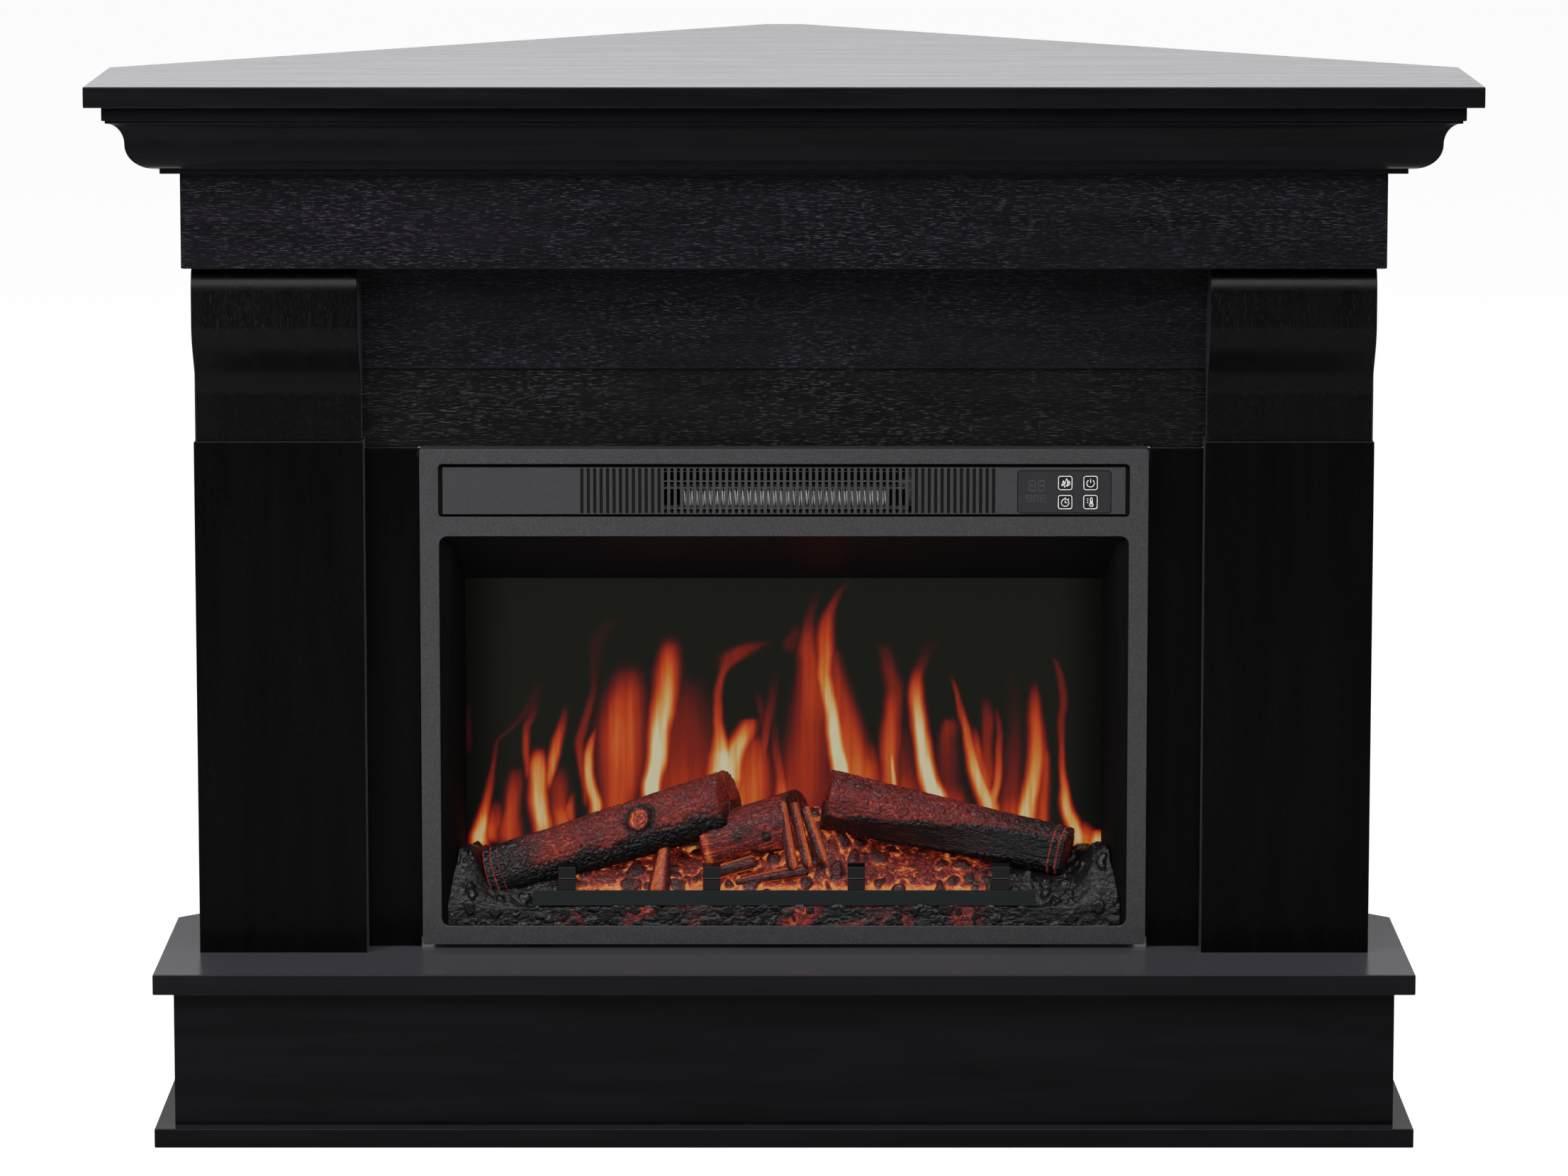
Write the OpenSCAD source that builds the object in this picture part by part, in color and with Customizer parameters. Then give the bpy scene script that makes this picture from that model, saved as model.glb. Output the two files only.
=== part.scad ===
// Corner fireplace: a five-sided wooden mantel for a room corner, with an electric
// log-effect insert in its front. X runs to the right, Y towards the corner of the
// room and Z up. The origin is on the floor, at the middle of the overall width and
// depth. Depths named "back" are measured from the front edge of the top board.

/* [Mantel plan] */
// Depth of the straight ends of the top board
end_d = 248; // [200:1:300]
// Width of the blunt point at the back of the top board
apex_w = 36; // [20:1:60]
// Gap between the carcass boards and the two room walls
wall_gap = 6; // [3:0.5:15]
// Overhang of the top board beyond the sub top
sub_top_setback = 15; // [8:0.5:30]
// Overhang of the top board beyond the crown's lip
crown_setback = 18; // [16:0.5:30]
// Overhang of the top board beyond the frieze
frieze_setback = 80; // [76:0.5:95]
// Overhang of the top board's ends beyond the outer faces of the columns
column_inset = 85.5; // [82:0.5:110]
// Overhang of the top board's ends beyond the hearth board
hearth_inset = 50; // [35:0.5:70]
// Distance of the hearth board's front edge behind the top board's front edge
hearth_back = 22; // [10:0.5:40]
// Overhang of the hearth and base boards beyond the plinth
plinth_setback = 18; // [8:0.5:30]

/* [Mantel boards] */
// Thickness of the main boards
board_t = 18; // [15:0.5:22]
// Thickness of the top board
top_t = 19; // [16:0.5:28]
// Thickness of the sub top
sub_top_t = 13; // [9:0.5:18]
// Thickness of the hearth board
hearth_t = 19; // [16:0.5:28]
// Thickness of the base board
base_t = 18; // [15:0.5:25]
// Thickness of the board that closes the frieze from below
soffit_t = 12; // [9:0.5:18]
// Thickness of the inner return of a column
return_t = 12; // [9:0.5:18]
// Height of the plinth boards
plinth_h = 126.5; // [90:0.5:160]
// Height of the lintel above the insert
lintel_h = 74; // [50:0.5:100]
// Height of the header above the lintel
header_h = 102; // [70:0.5:130]
// Visible height of the frieze below the crown
frieze_h = 89; // [60:0.5:120]
// Height of the rails below the sub top
rail_h = 80; // [50:1:110]
// Width of the post at the back of the carcass
post_w = 90; // [70:1:120]
// Depth of the post on its straight sides
post_d = 26; // [18:1:40]

/* [Crown moulding] */
// Height of the straight lip at the top of the crown
lip_h = 2.5; // [1:0.5:6]
// Width of the hollow cove below the lip
cove_w = 16; // [10:0.5:22]
// Height of the cove
cove_h = 20.5; // [12:0.5:28]
// Width of the round below the cove
ovolo_w = 29; // [18:0.5:36]
// Height of the round
ovolo_h = 24.5; // [14:0.5:32]
// Height of the small square step under the round
fillet_h = 4.5; // [2:0.5:8]

/* [Columns and brackets] */
// Width of a column
column_w = 157; // [120:0.5:180]
// Width of a stile, which fills in between a column and the insert
stile_w = 49.3; // [36:0.1:70]
// Distance of the column face behind the top board's front edge
column_back = 126; // [116:0.5:150]
// Distance of the stiles behind the column face
stile_back = 32; // [24:0.5:45]
// Distance of the header behind the stiles
header_back = 3; // [1:0.5:8]
// Distance of the lintel behind the stiles
lintel_back = 9; // [4:0.5:14]
// Height of a bracket
bracket_h = 166; // [130:1:190]
// How far the nose of a bracket stands out from its foot
bracket_nose = 38; // [24:0.5:44]
// Distance of the bracket foot behind the column face
bracket_foot_back = 6; // [2:0.5:12]
// Distance of the bracket sides from the edges of the column
bracket_inset = 1.75; // [0.5:0.25:6]
// Height of the rounded nose of a bracket
nose_h = 27; // [15:1:40]
// Depth of the rounded nose of a bracket
nose_d = 15; // [8:0.5:24]
// Height of the flat face of a bracket below its nose
brow_h = 28; // [10:1:40]
// Height of the S-shaped sweep of a bracket
sweep_h = 68; // [40:1:80]

/* [Insert front] */
// Width of the bezel
bezel_w = 680; // [640:1:720]
// Depth of the bezel
bezel_d = 24; // [20:0.5:30]
// Thickness of the bezel's face and sides
bezel_t = 3; // [2:0.25:4]
// Gap between the bezel and the stile on each side
bezel_gap = 2.2; // [1:0.1:4]
// Height of the bezel's lower edge above the hearth board
bezel_lift = 4.5; // [2:0.5:8]
// How far the bezel covers the lower edge of the lintel
lintel_cover = 1; // [0:0.5:4]
// Height of the bezel's bottom rim
sill_h = 17.5; // [12:0.5:25]
// Height of the window
window_h = 370.5; // [320:0.5:420]
// Width of the bezel's side rims beside the window
window_rim = 18; // [14:0.5:24]
// Corner radius of the window
window_r = 8; // [4:0.5:14]
// Height of the rail between the window and the control bar
mid_rail_h = 18; // [14:0.5:26]
// Height of the control bar's opening
bar_h = 50; // [46:0.5:60]
// Width of the bezel's side rims beside the control bar
bar_rim = 17.5; // [14:0.5:20]
// Corner radius of the control bar's opening
bar_r = 4; // [2:0.5:6]
// Height of the bezel's top rim
head_h = 14; // [10:0.5:20]

/* [Control bar] */
// Depth of the fascia behind the bezel's face
fascia_d = 7; // [6:0.5:10]
// Width of the dark groove round the raised panel
groove_w = 4; // [2:0.5:6]
// Thickness of the raised panel
panel_t = 2; // [1.6:0.1:3]
// Thickness of the fascia's floor round the raised panel
floor_t = 2; // [1.5:0.25:3]
// How far the fascia reaches behind the bezel beyond the bar's opening
fascia_lap = 4; // [3:0.5:5]
// Distance between neighbouring grille slots
slot_pitch = 6; // [5:0.1:7]
// Width of a grille slot
slot_w = 3.1; // [2:0.1:3.5]
// Height of a grille slot
slot_h = 40; // [30:0.5:40.5]
// Depth of the blind slots beside the open grille
blind_d = 1; // [0.5:0.1:1.4]
// Number of open slots
slots_open = 39; // [35:1:39]
// Least distance between the blind slots and the control window
slot_field_gap = 20; // [10:0.5:40]
// Offset of the open grille's middle from the insert's middle
grille_x = 3.5; // [0:0.5:8]

/* [Buttons] */
// Width of the control window
cwin_w = 87; // [80:0.5:90]
// Height of the control window
cwin_h = 40; // [38:0.5:41]
// Thickness of the control window
cwin_t = 2.3; // [2:0.1:2.5]
// Corner radius of the control window
cwin_r = 3; // [1.5:0.5:5]
// Distance of the control window from the right end of the control bar
cwin_in = 17.5; // [8:0.5:30]
// Gap round the control window and round each button
cap_gap = 0.25; // [0.15:0.05:0.4]
// Width and height of a button
button_w = 14; // [12:0.25:14.5]
// Corner radius of a button
button_r = 1.5; // [0.5:0.25:3]
// Distance between the buttons' middles from left to right
button_dx = 23.6; // [20:0.1:25]
// Distance between the buttons' middles from top to bottom
button_dz = 18; // [17:0.1:19.5]
// How far a button stands out of the control window
button_proud = 0.6; // [0.55:0.05:1]
// Travel of a button
button_travel = 0.5; // [0.3:0.05:0.5]

/* [Firebox] */
// Depth of the housing behind the bezel's face
shell_d = 194; // [180:1:220]
// Thickness of the housing's sheet steel
sheet_t = 1.5; // [1:0.1:2]
// Height of the two skids under the housing
skid_h = 8.5; // [6:0.5:10]
// Width of a skid
skid_w = 22; // [12:1:40]
// Depth of the viewing space, from the bezel's back to the flame screen
view_d = 90; // [80:1:96]
// Thickness of the flame screen
screen_t = 3; // [2:0.5:5]
// Drop of the sloping valance from front to back
valance_drop = 53; // [40:1:70]
// How far each cheek comes in over its short front bend
cheek_in = 12; // [6:0.5:16]
// Depth of a cheek's front bend
cheek_bend = 18; // [12:0.5:26]
// How far each cheek comes in over its whole depth
cheek_total = 20; // [17:0.5:28]

/* [Logs and embers] */
// Height of the ember bed's front edge above the housing's floor
ember_front_h = 29.5; // [20:0.5:34]
// Height of the ember bed's back edge above the housing's floor
ember_back_h = 73.5; // [55:0.5:90]
// Depth of the ledge that carries the grate
ledge_d = 12; // [10:0.5:18]
// Wall of the ember bed's moulding
ember_t = 3; // [2:0.5:4]
// Length of the grate rail
rail_len = 474; // [420:2:520]
// Height of the grate rail
grate_h = 14.3; // [10:0.1:18]
// Thickness of the grate rail and of its clips
grate_t = 3; // [2:0.25:3.5]
// Width of a grate clip
clip_w = 16.5; // [10:0.5:22]
// Number of grate clips
clips = 4; // [3:1:6]
// Distance of the outer clips' middles from the ends of the rail
clip_in = 32.5; // [20:0.5:50]
// Height of a clip above the rail
clip_rise = 22; // [12:0.5:28]
// Radius of a side log at its outer end
log_r_low = 21; // [16:0.5:24]
// Radius of a side log at its inner end
log_r_high = 26.5; // [22:0.5:30]
// Radius of the log in the middle of the ember bed
mid_log_r = 26; // [20:0.5:30]

/* [Heater and blower] */
// Outer radius of the heating coil
coil_r = 8.5; // [6:0.25:9]
// Radius of the heating wire
wire_r = 0.45; // [0.35:0.05:0.6]
// Length of the heating coil
coil_len = 187; // [160:1:190]
// Number of turns of the heating coil
coil_turns = 80; // [50:1:84]
// Length of the heater's mica frame
heater_len = 230; // [210:1:240]
// Depth of the heater's mica frame
heater_d = 16; // [12:0.5:17]
// Thickness of the mica plates
mica_t = 1.5; // [1:0.1:2]
// Depth of the blower housing
blower_d = 60; // [58:0.5:64]
// Radius of the blower wheel
wheel_r = 24; // [18:0.5:24.5]
// Length of the blower wheel
wheel_len = 192; // [160:1:200]
// Number of blades on the blower wheel
blades = 22; // [12:1:26]
// Radius of the blower shaft
shaft_r = 2.5; // [2:0.25:4]
// Radial clearance of shafts in their bearings
run_gap = 0.06; // [0.02:0.01:0.1]

/* [Flame mechanism] */
// Room beside each end of the flicker rod, for its motor
flicker_margin = 46; // [40:1:60]
// Radius of the flicker rod
rod_r = 3; // [2:0.25:4]
// Number of reflecting fins on the flicker rod
fins = 26; // [12:1:30]
// Reach of a fin from the axis of the rod
fin_r = 17; // [10:0.5:20]
// Height of the flicker rod's axis above the housing's floor
rod_h = 62; // [50:0.5:80]

/* [Rear] */
// Number of cooling slots in each row of the rear cover
vents = 16; // [8:1:18]
// Radius of the cord's gland, which has its bore for a 7 mm cord
gland_r = 8; // [7:0.5:10]
// Radius of the gland's bore
gland_bore = 3.6; // [3:0.1:4]

/* [Hidden] */
$fn = 48;
eps = 0.01;
// how far a cutting shape runs past the face that it cuts
cut = 1;
root2 = sqrt(2);

// heights of the mantel, from the floor up
base_top = base_t;
plinth_top = base_top + plinth_h;
hearth_top = plinth_top + hearth_t;
bezel_h = sill_h + window_h + mid_rail_h + bar_h + head_h;
bezel_z = hearth_top + bezel_lift;
lintel_z = bezel_z + bezel_h - lintel_cover;
header_z = lintel_z + lintel_h;
frieze_z = header_z + header_h;
crown_z = frieze_z + frieze_h;
crown_h = lip_h + cove_h + ovolo_h + fillet_h;
sub_top_z = crown_z + crown_h;
top_z = sub_top_z + sub_top_t;

// the plan: half widths, and the walls of the room, where |x| + back = wall_sum
open_x = bezel_w / 2 + bezel_gap;
column_x0 = open_x + stile_w;
column_x1 = column_x0 + column_w;
half_w = column_x1 + column_inset;
wall_sum = half_w + end_d;
overall_d = wall_sum - apex_w / 2;
front_y = -overall_d / 2;
carcass_sum = wall_sum - wall_gap * root2;
carcass_d = overall_d - wall_gap;
hearth_x = half_w - hearth_inset;
plinth_x = hearth_x - plinth_setback;
plinth_back = hearth_back + plinth_setback;
plinth_sum = carcass_sum - plinth_setback;
frieze_x = half_w - frieze_setback;
stile_s = column_back + stile_back;
header_s = stile_s + header_back;
lintel_s = stile_s + lintel_back;
bracket_z = frieze_z - bracket_h;

// the insert, from the bezel's face back
bezel_s = lintel_s - bezel_d;
bezel_in = bezel_s + bezel_t;
window_w = bezel_w - 2 * window_rim;
window_z = bezel_z + sill_h;
window_top = window_z + window_h;
bar_w = bezel_w - 2 * bar_rim;
bar_z = window_top + mid_rail_h;
bar_top = bar_z + bar_h;
shell_gap = 5;
shell_clear = 1;
shell_x = bezel_w / 2 - bezel_t - shell_gap;
shell_z = hearth_top + skid_h;
shell_top = bezel_z + bezel_h - bezel_t - shell_clear;
shell_end = bezel_s + shell_d;
floor_z = shell_z + sheet_t;
screen_s = bezel_in + view_d;
cheek_x0 = window_w / 2;
cheek_x1 = cheek_x0 - cheek_in;
cheek_x2 = cheek_x0 - cheek_total;

// the control bar; its groove is narrower above and below than at the ends
groove_low = 2.5;
groove_high = 3.5;
pad_x = bar_w / 2 - groove_w;
pad_z0 = bar_z + groove_low;
pad_z1 = bar_top - groove_high;
fascia_x = bar_w / 2 + fascia_lap;
fascia_z0 = bar_z - fascia_lap;
fascia_z1 = bar_top + fascia_lap;
fascia_end = bezel_in + fascia_d;
cwin_x1 = bar_w / 2 - cwin_in;
cwin_x0 = cwin_x1 - cwin_w;
cwin_x = (cwin_x0 + cwin_x1) / 2;

// the slots: an open grille between two fields of as many blind slots as there is room for
grille_half = (slots_open - 1) / 2 * slot_pitch;
slots_blind = floor((cwin_x0 - slot_field_gap - grille_x - grille_half) / slot_pitch);
slots_all = slots_open + 2 * slots_blind;
slot_x0 = grille_x - grille_half - slots_blind * slot_pitch;
slot_zc = (pad_z0 + pad_z1) / 2;

// the buttons: each is a cap with a flange behind the window, and a stem to its switch
cwin_lift = 1;
cwin_zc = pad_z0 + cwin_lift + cwin_h / 2;
keys_x = cwin_x + 0.8;
keys_z = cwin_zc - 0.6;
button_xs = [keys_x, keys_x + button_dx];
button_zs = [keys_z + button_dz / 2, keys_z - button_dz / 2];
key_flange_w = 1;
key_flange_t = 1;
key_flange_gap = 0.2;
key_back = bezel_in + cwin_t + key_flange_gap + key_flange_t;
stem_r = 1.5;
stem_out = 0.2;
stem_end = fascia_end + stem_out;
switch_w = 6;
switch_h = 2.15;
switch_gap = 0.15;
board_s = stem_end + button_travel + switch_gap + switch_h;
pcb_t = 1.6;

// the heater and the blower, one behind the other above the valance
coil_lift = 16;
coil_z = bar_z + coil_lift;
heater_dx = 2;
heater_x = grille_x - heater_dx;
heater_gap = 4;
heater_s = fascia_end + heater_gap + heater_d / 2;
duct_gap = 3;
blower_s = heater_s + heater_d / 2 + duct_gap;
blower_lift = 2;
blower_z0 = fascia_z0 + blower_lift;
blower_z1 = shell_top - sheet_t;
end_t = 3;
wheel_end_gap = 6;
blower_w = wheel_len + 2 * (end_t + wheel_end_gap);
wheel_s = blower_s + blower_d / 2;
wheel_z = (blower_z0 + blower_z1) / 2;
shaft_bite = 14;

// the flame mechanism behind the screen
rod_z = floor_z + rod_h;
rod_s = (screen_s + screen_t + shell_end) / 2;
flicker_len = 2 * (shell_x - flicker_margin);
tab_t = 2.5;
rod_bite = 9;
motor_r = 24;
motor_len = 22;

// fasteners
screw_r = 2;
screw_head_r = 4;
screw_head_h = 2.2;
screw_play = 0.1;

wood = [0.07, 0.06, 0.075];
steel = [0.13, 0.13, 0.14];

// ---- shared shapes; x is the side, s the distance back from the top's front edge ----

module block(x0, x1, s0, s1, z0, z1) {
    translate([x0, front_y + s0, z0]) cube([x1 - x0, s1 - s0, z1 - z0]);
}

// a plan outline in [x, s], raised from z0 to z1
module slab(points, z0, z1) {
    translate([0, front_y, z0]) linear_extrude(z1 - z0) polygon(points);
}

// a side outline in [s, z], drawn out along X
module bar_x(points, x0, x1) {
    translate([x0, front_y, 0]) rotate([90, 0, 90]) linear_extrude(x1 - x0) polygon(points);
}

// a front outline in [x, z], drawn back from s0 to s1
module plate(s0, s1) {
    translate([0, front_y + s1, 0]) rotate([90, 0, 0]) linear_extrude(s1 - s0) children();
}

module rod_y(x, z, s0, s1, r) {
    translate([x, front_y + s0, z]) rotate([-90, 0, 0]) cylinder(h = s1 - s0, r = r);
}

module rod_x(s, z, x0, x1, r) {
    translate([x0, front_y + s, z]) rotate([0, 90, 0]) cylinder(h = x1 - x0, r = r);
}

module round_rect(x0, x1, z0, z1, r) {
    translate([x0 + r, z0]) square([x1 - x0 - 2 * r, z1 - z0]);
    translate([x0, z0 + r]) square([x1 - x0, z1 - z0 - 2 * r]);
    for (x = [x0 + r, x1 - r], z = [z0 + r, z1 - r]) translate([x, z]) circle(r);
}

function flip(points, side) = [for (p = points) [side * p[0], p[1]]];

// the five-sided outline between the front edge and the two walls
function corner_plan(hw, s0, gap) =
    let (sum = wall_sum - gap * root2, back = overall_d - gap)
    [[-hw, s0], [hw, s0], [hw, sum - hw], [sum - back, back], [back - sum, back], [-hw, sum - hw]];

// front board with mitred ends, and the return that meets it and runs to the wall
module mitred_front(hw, s0, t, z0, z1) {
    slab([[-hw, s0], [hw, s0], [hw - t, s0 + t], [t - hw, s0 + t]], z0, z1);
}

module mitred_return(side, hw, s0, t, sum, z0, z1) {
    slab(flip([[hw, s0], [hw, sum - hw], [hw - t, sum - hw + t], [hw - t, s0 + t]], side), z0, z1);
}

// rail along a wall of the room, between two distances from the middle
module wall_rail(side, xa, xb, t, sum, z0, z1) {
    slab(flip([[xa, sum - xa], [xa, sum - xa - t * root2],
        [xb, sum - xb - t * root2], [xb, sum - xb]], side), z0, z1);
}

// ---- fasteners ----

// vertical wood screw, its head down and sunk in; with play it is the hole for one
module screw_up(x, s, length, sink, play = 0) {
    translate([x, front_y + s, sink]) {
        cylinder(h = length + play, r = screw_r + play);
        cylinder(h = screw_head_h + play, r1 = screw_head_r + play, r2 = screw_r + play);
        if (play > 0) translate([0, 0, -sink - cut]) cylinder(h = sink + cut + eps,
            r = screw_head_r + play);
    }
}

// the base board is screwed to the plinth from below
base_screw_bite = 30;
base_screw_len = base_t + base_screw_bite;
base_screw_sink = 0.6;
front_screws = 5;
front_screw_dx = 2 * plinth_x / front_screws;
side_screw_front = 70;
side_screw_rear = 40;
side_screw_ss = [plinth_back + side_screw_front, plinth_sum - plinth_x - side_screw_rear];
module base_screws(play = 0) {
    for (i = [0 : front_screws - 1])
        screw_up((i - (front_screws - 1) / 2) * front_screw_dx, plinth_back + board_t / 2,
            base_screw_len, base_screw_sink, play);
    for (side = [-1, 1], s = side_screw_ss)
        screw_up(side * (plinth_x - board_t / 2), s, base_screw_len, base_screw_sink, play);
}

// ---- mantel ----

module top_board() {
    color(wood) slab(corner_plan(half_w, 0, 0), top_z, top_z + top_t);
}

module sub_top() {
    color(wood) slab(corner_plan(half_w - sub_top_setback, sub_top_setback, wall_gap),
        sub_top_z, top_z);
}

// outline of the crown: out from the frieze's face, and up
crown_out = frieze_setback - crown_setback;
ovolo_z = crown_z + fillet_h;
cove_z = ovolo_z + ovolo_h;
arc_steps = 12;
function quarter(i) = 90 * i / arc_steps;
crown_outline = concat(
    [[0, crown_z], [crown_out - cove_w - ovolo_w, crown_z]],
    [for (i = [0 : arc_steps]) [crown_out - cove_w - ovolo_w * (1 - sin(quarter(i))),
        cove_z - ovolo_h * cos(quarter(i))]],
    [for (i = [1 : arc_steps]) [crown_out - cove_w * cos(quarter(i)),
        cove_z + cove_h * sin(quarter(i))]],
    [[crown_out, sub_top_z], [0, sub_top_z]]);

module cornice_front() {
    color(wood) intersection() {
        bar_x([for (p = crown_outline) [frieze_setback - p[0], p[1]]], -half_w, half_w);
        mitred_front(frieze_x + crown_out, frieze_setback - crown_out, crown_out,
            crown_z - eps, sub_top_z + eps);
    }
}

module cornice_return(side) {
    color(wood) intersection() {
        translate([0, front_y + frieze_setback - crown_out, 0]) rotate([90, 0, 0])
            translate([0, 0, -overall_d]) linear_extrude(overall_d)
                polygon([for (p = crown_outline) [side * (frieze_x + p[0]), p[1]]]);
        mitred_return(side, frieze_x + crown_out, frieze_setback - crown_out, crown_out,
            carcass_sum, crown_z - eps, sub_top_z + eps);
    }
}

module cornice_left_return() { cornice_return(-1); }
module cornice_right_return() { cornice_return(1); }

module frieze_front() {
    color(wood) mitred_front(frieze_x, frieze_setback, board_t, frieze_z, sub_top_z);
}

module frieze_return(side) {
    color(wood) mitred_return(side, frieze_x, frieze_setback, board_t, carcass_sum,
        frieze_z, sub_top_z);
}

module frieze_left_return() { frieze_return(-1); }
module frieze_right_return() { frieze_return(1); }

soffit_lap = 6;
module frieze_soffit() {
    color(wood) block(board_t - frieze_x, frieze_x - board_t, frieze_setback + board_t,
        header_s + board_t + soffit_lap, frieze_z, frieze_z + soffit_t);
}

panel_x0 = column_x1 - board_t;
module upper_header() {
    color(wood) block(-panel_x0, panel_x0, header_s, header_s + board_t, header_z, frieze_z);
}

module lintel() {
    color(wood) block(-panel_x0, panel_x0, lintel_s, lintel_s + board_t, lintel_z, header_z);
}

// side outline of a bracket: rounded nose, flat brow, S-shaped sweep and flat foot
foot_s = column_back + bracket_foot_back;
nose_s = foot_s - bracket_nose;
sweep_z = frieze_z - nose_h - brow_h - sweep_h;
bracket_outline = concat(
    [for (i = [0 : arc_steps]) [nose_s + nose_d * (1 - sin(quarter(i))),
        frieze_z - nose_h * (1 - cos(quarter(i)))]],
    [for (i = [0 : 2 * arc_steps]) [nose_s + bracket_nose * (1 - cos(quarter(i))) / 2,
        sweep_z + sweep_h * (1 - i / (2 * arc_steps))]],
    [[foot_s, bracket_z], [header_s, bracket_z], [header_s, frieze_z]]);

module bracket(side) {
    x0 = column_x0 + bracket_inset;
    x1 = column_x1 - bracket_inset;
    color(wood) difference() {
        bar_x(bracket_outline, side > 0 ? x0 : -x1, side > 0 ? x1 : -x0);
        slab(flip([[panel_x0, column_back + board_t], [column_x1 + cut, column_back + board_t],
            [column_x1 + cut, header_s + cut], [panel_x0, header_s + cut]], side),
            bracket_z - cut, frieze_z + cut);
    }
}

module left_bracket() { bracket(-1); }
module right_bracket() { bracket(1); }

// a column is folded from one veneered board: its face and its inner return
module column(side) {
    color(wood) slab(flip([[column_x0, column_back], [column_x1, column_back],
        [column_x1, column_back + board_t], [column_x0 + return_t, column_back + board_t],
        [column_x0 + return_t, lintel_s], [column_x0, lintel_s]], side),
        hearth_top, bracket_z);
}

module left_column() { column(-1); }
module right_column() { column(1); }

module stile(side) {
    color(wood) difference() {
        slab(flip([[open_x, stile_s], [column_x0, stile_s],
            [column_x0, stile_s + board_t], [open_x, stile_s + board_t]], side),
            hearth_top, lintel_z);
        bracket_stile_screws(screw_play);
    }
}

module left_stile() { stile(-1); }
module right_stile() { stile(1); }

module side_panel(side) {
    color(wood) slab(flip([[panel_x0, column_back + board_t], [column_x1, column_back + board_t],
        [column_x1, carcass_sum - column_x1], [panel_x0, carcass_sum - panel_x0]], side),
        hearth_top, frieze_z);
}

module left_side_panel() { side_panel(-1); }
module right_side_panel() { side_panel(1); }

post_x = post_w / 2;
post_s1 = carcass_sum - post_x;
module rear_post() {
    color(wood) slab([[-post_x, post_s1 - post_d], [post_x, post_s1 - post_d], [post_x, post_s1],
        [carcass_sum - carcass_d, carcass_d], [carcass_d - carcass_sum, carcass_d],
        [-post_x, post_s1]], hearth_top, sub_top_z);
}

module upper_rail(side) {
    color(wood) wall_rail(side, post_x, frieze_x - board_t, board_t, carcass_sum,
        sub_top_z - rail_h, sub_top_z);
}

module upper_left_rail() { upper_rail(-1); }
module upper_right_rail() { upper_rail(1); }

module hearth_board() {
    color(wood) slab(corner_plan(hearth_x, hearth_back, 0), plinth_top, hearth_top);
}

module plinth_front() {
    color(wood) difference() {
        mitred_front(plinth_x, plinth_back, board_t, base_top, plinth_top);
        base_screws(screw_play);
    }
}

module plinth_return(side) {
    color(wood) difference() {
        mitred_return(side, plinth_x, plinth_back, board_t, plinth_sum, base_top, plinth_top);
        base_screws(screw_play);
    }
}

module plinth_left_return() { plinth_return(-1); }
module plinth_right_return() { plinth_return(1); }

module plinth_rail(side) {
    color(wood) wall_rail(side, 0, plinth_x - board_t, board_t, plinth_sum,
        base_top, plinth_top);
}

module plinth_left_rail() { plinth_rail(-1); }
module plinth_right_rail() { plinth_rail(1); }

module base_board() {
    color(wood) difference() {
        slab(corner_plan(hearth_x, hearth_back, 0), 0, base_top);
        base_screws(screw_play);
    }
}

module mantel_screws() {
    color("silver") base_screws();
}

// ---- insert: front ----

module bezel() {
    x1 = bezel_w / 2;
    z1 = bezel_z + bezel_h;
    corner_r = 3;
    color([0.3, 0.3, 0.31]) difference() {
        plate(bezel_s, bezel_s + bezel_d) round_rect(-x1, x1, bezel_z, z1, corner_r);
        block(bezel_t - x1, x1 - bezel_t, bezel_in, bezel_s + bezel_d + cut,
            bezel_z + bezel_t, z1 - bezel_t);
        plate(bezel_s - cut, bezel_in + cut)
            round_rect(-window_w / 2, window_w / 2, window_z, window_top, window_r);
        plate(bezel_s - cut, bezel_in + cut)
            round_rect(-bar_w / 2, bar_w / 2, bar_z, bar_top, bar_r);
    }
}

module slot_outline(x) {
    translate([x, slot_zc]) {
        square([slot_w, slot_h - slot_w], center = true);
        for (z = [-1, 1]) translate([0, z * (slot_h - slot_w) / 2]) circle(slot_w / 2);
    }
}

module slots(first, last) {
    for (i = [first : last]) slot_outline(slot_x0 + i * slot_pitch);
}

module cwin_outline(grow) {
    round_rect(cwin_x0 - grow, cwin_x1 + grow, cwin_zc - cwin_h / 2 - grow,
        cwin_zc + cwin_h / 2 + grow, cwin_r + grow);
}

// the window lies on a narrow seat moulded behind its opening
seat_w = 1.8;
seat_t = 1.5;
module control_fascia() {
    open_first = slots_blind;
    open_last = slots_blind + slots_open - 1;
    color([0.25, 0.25, 0.26]) difference() {
        block(-fascia_x, fascia_x, bezel_in, fascia_end, fascia_z0, fascia_z1);
        difference() {
            block(-bar_w / 2, bar_w / 2, bezel_in - cut, fascia_end - floor_t, bar_z, bar_top);
            block(-pad_x, pad_x, bezel_in - 2 * cut, fascia_end, pad_z0, pad_z1);
        }
        difference() {
            block(-pad_x + panel_t, pad_x - panel_t, bezel_in + panel_t, fascia_end + cut,
                pad_z0 + panel_t, pad_z1 - panel_t);
            plate(bezel_in, bezel_in + cwin_t + seat_t) cwin_outline(cap_gap + seat_t);
        }
        plate(bezel_in - cut, bezel_in + panel_t + cut) slots(open_first, open_last);
        plate(bezel_in - cut, bezel_in + blind_d) {
            slots(0, open_first - 1);
            slots(open_last + 1, slots_all - 1);
        }
        plate(bezel_in - cut, bezel_in + cwin_t) cwin_outline(cap_gap);
        plate(bezel_in - cut, fascia_end + cut) cwin_outline(-seat_w);
    }
}

module key_outline(i, j, grow) {
    w = button_w / 2 + grow;
    round_rect(button_xs[i] - w, button_xs[i] + w, button_zs[j] - w, button_zs[j] + w,
        button_r + grow);
}

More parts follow.
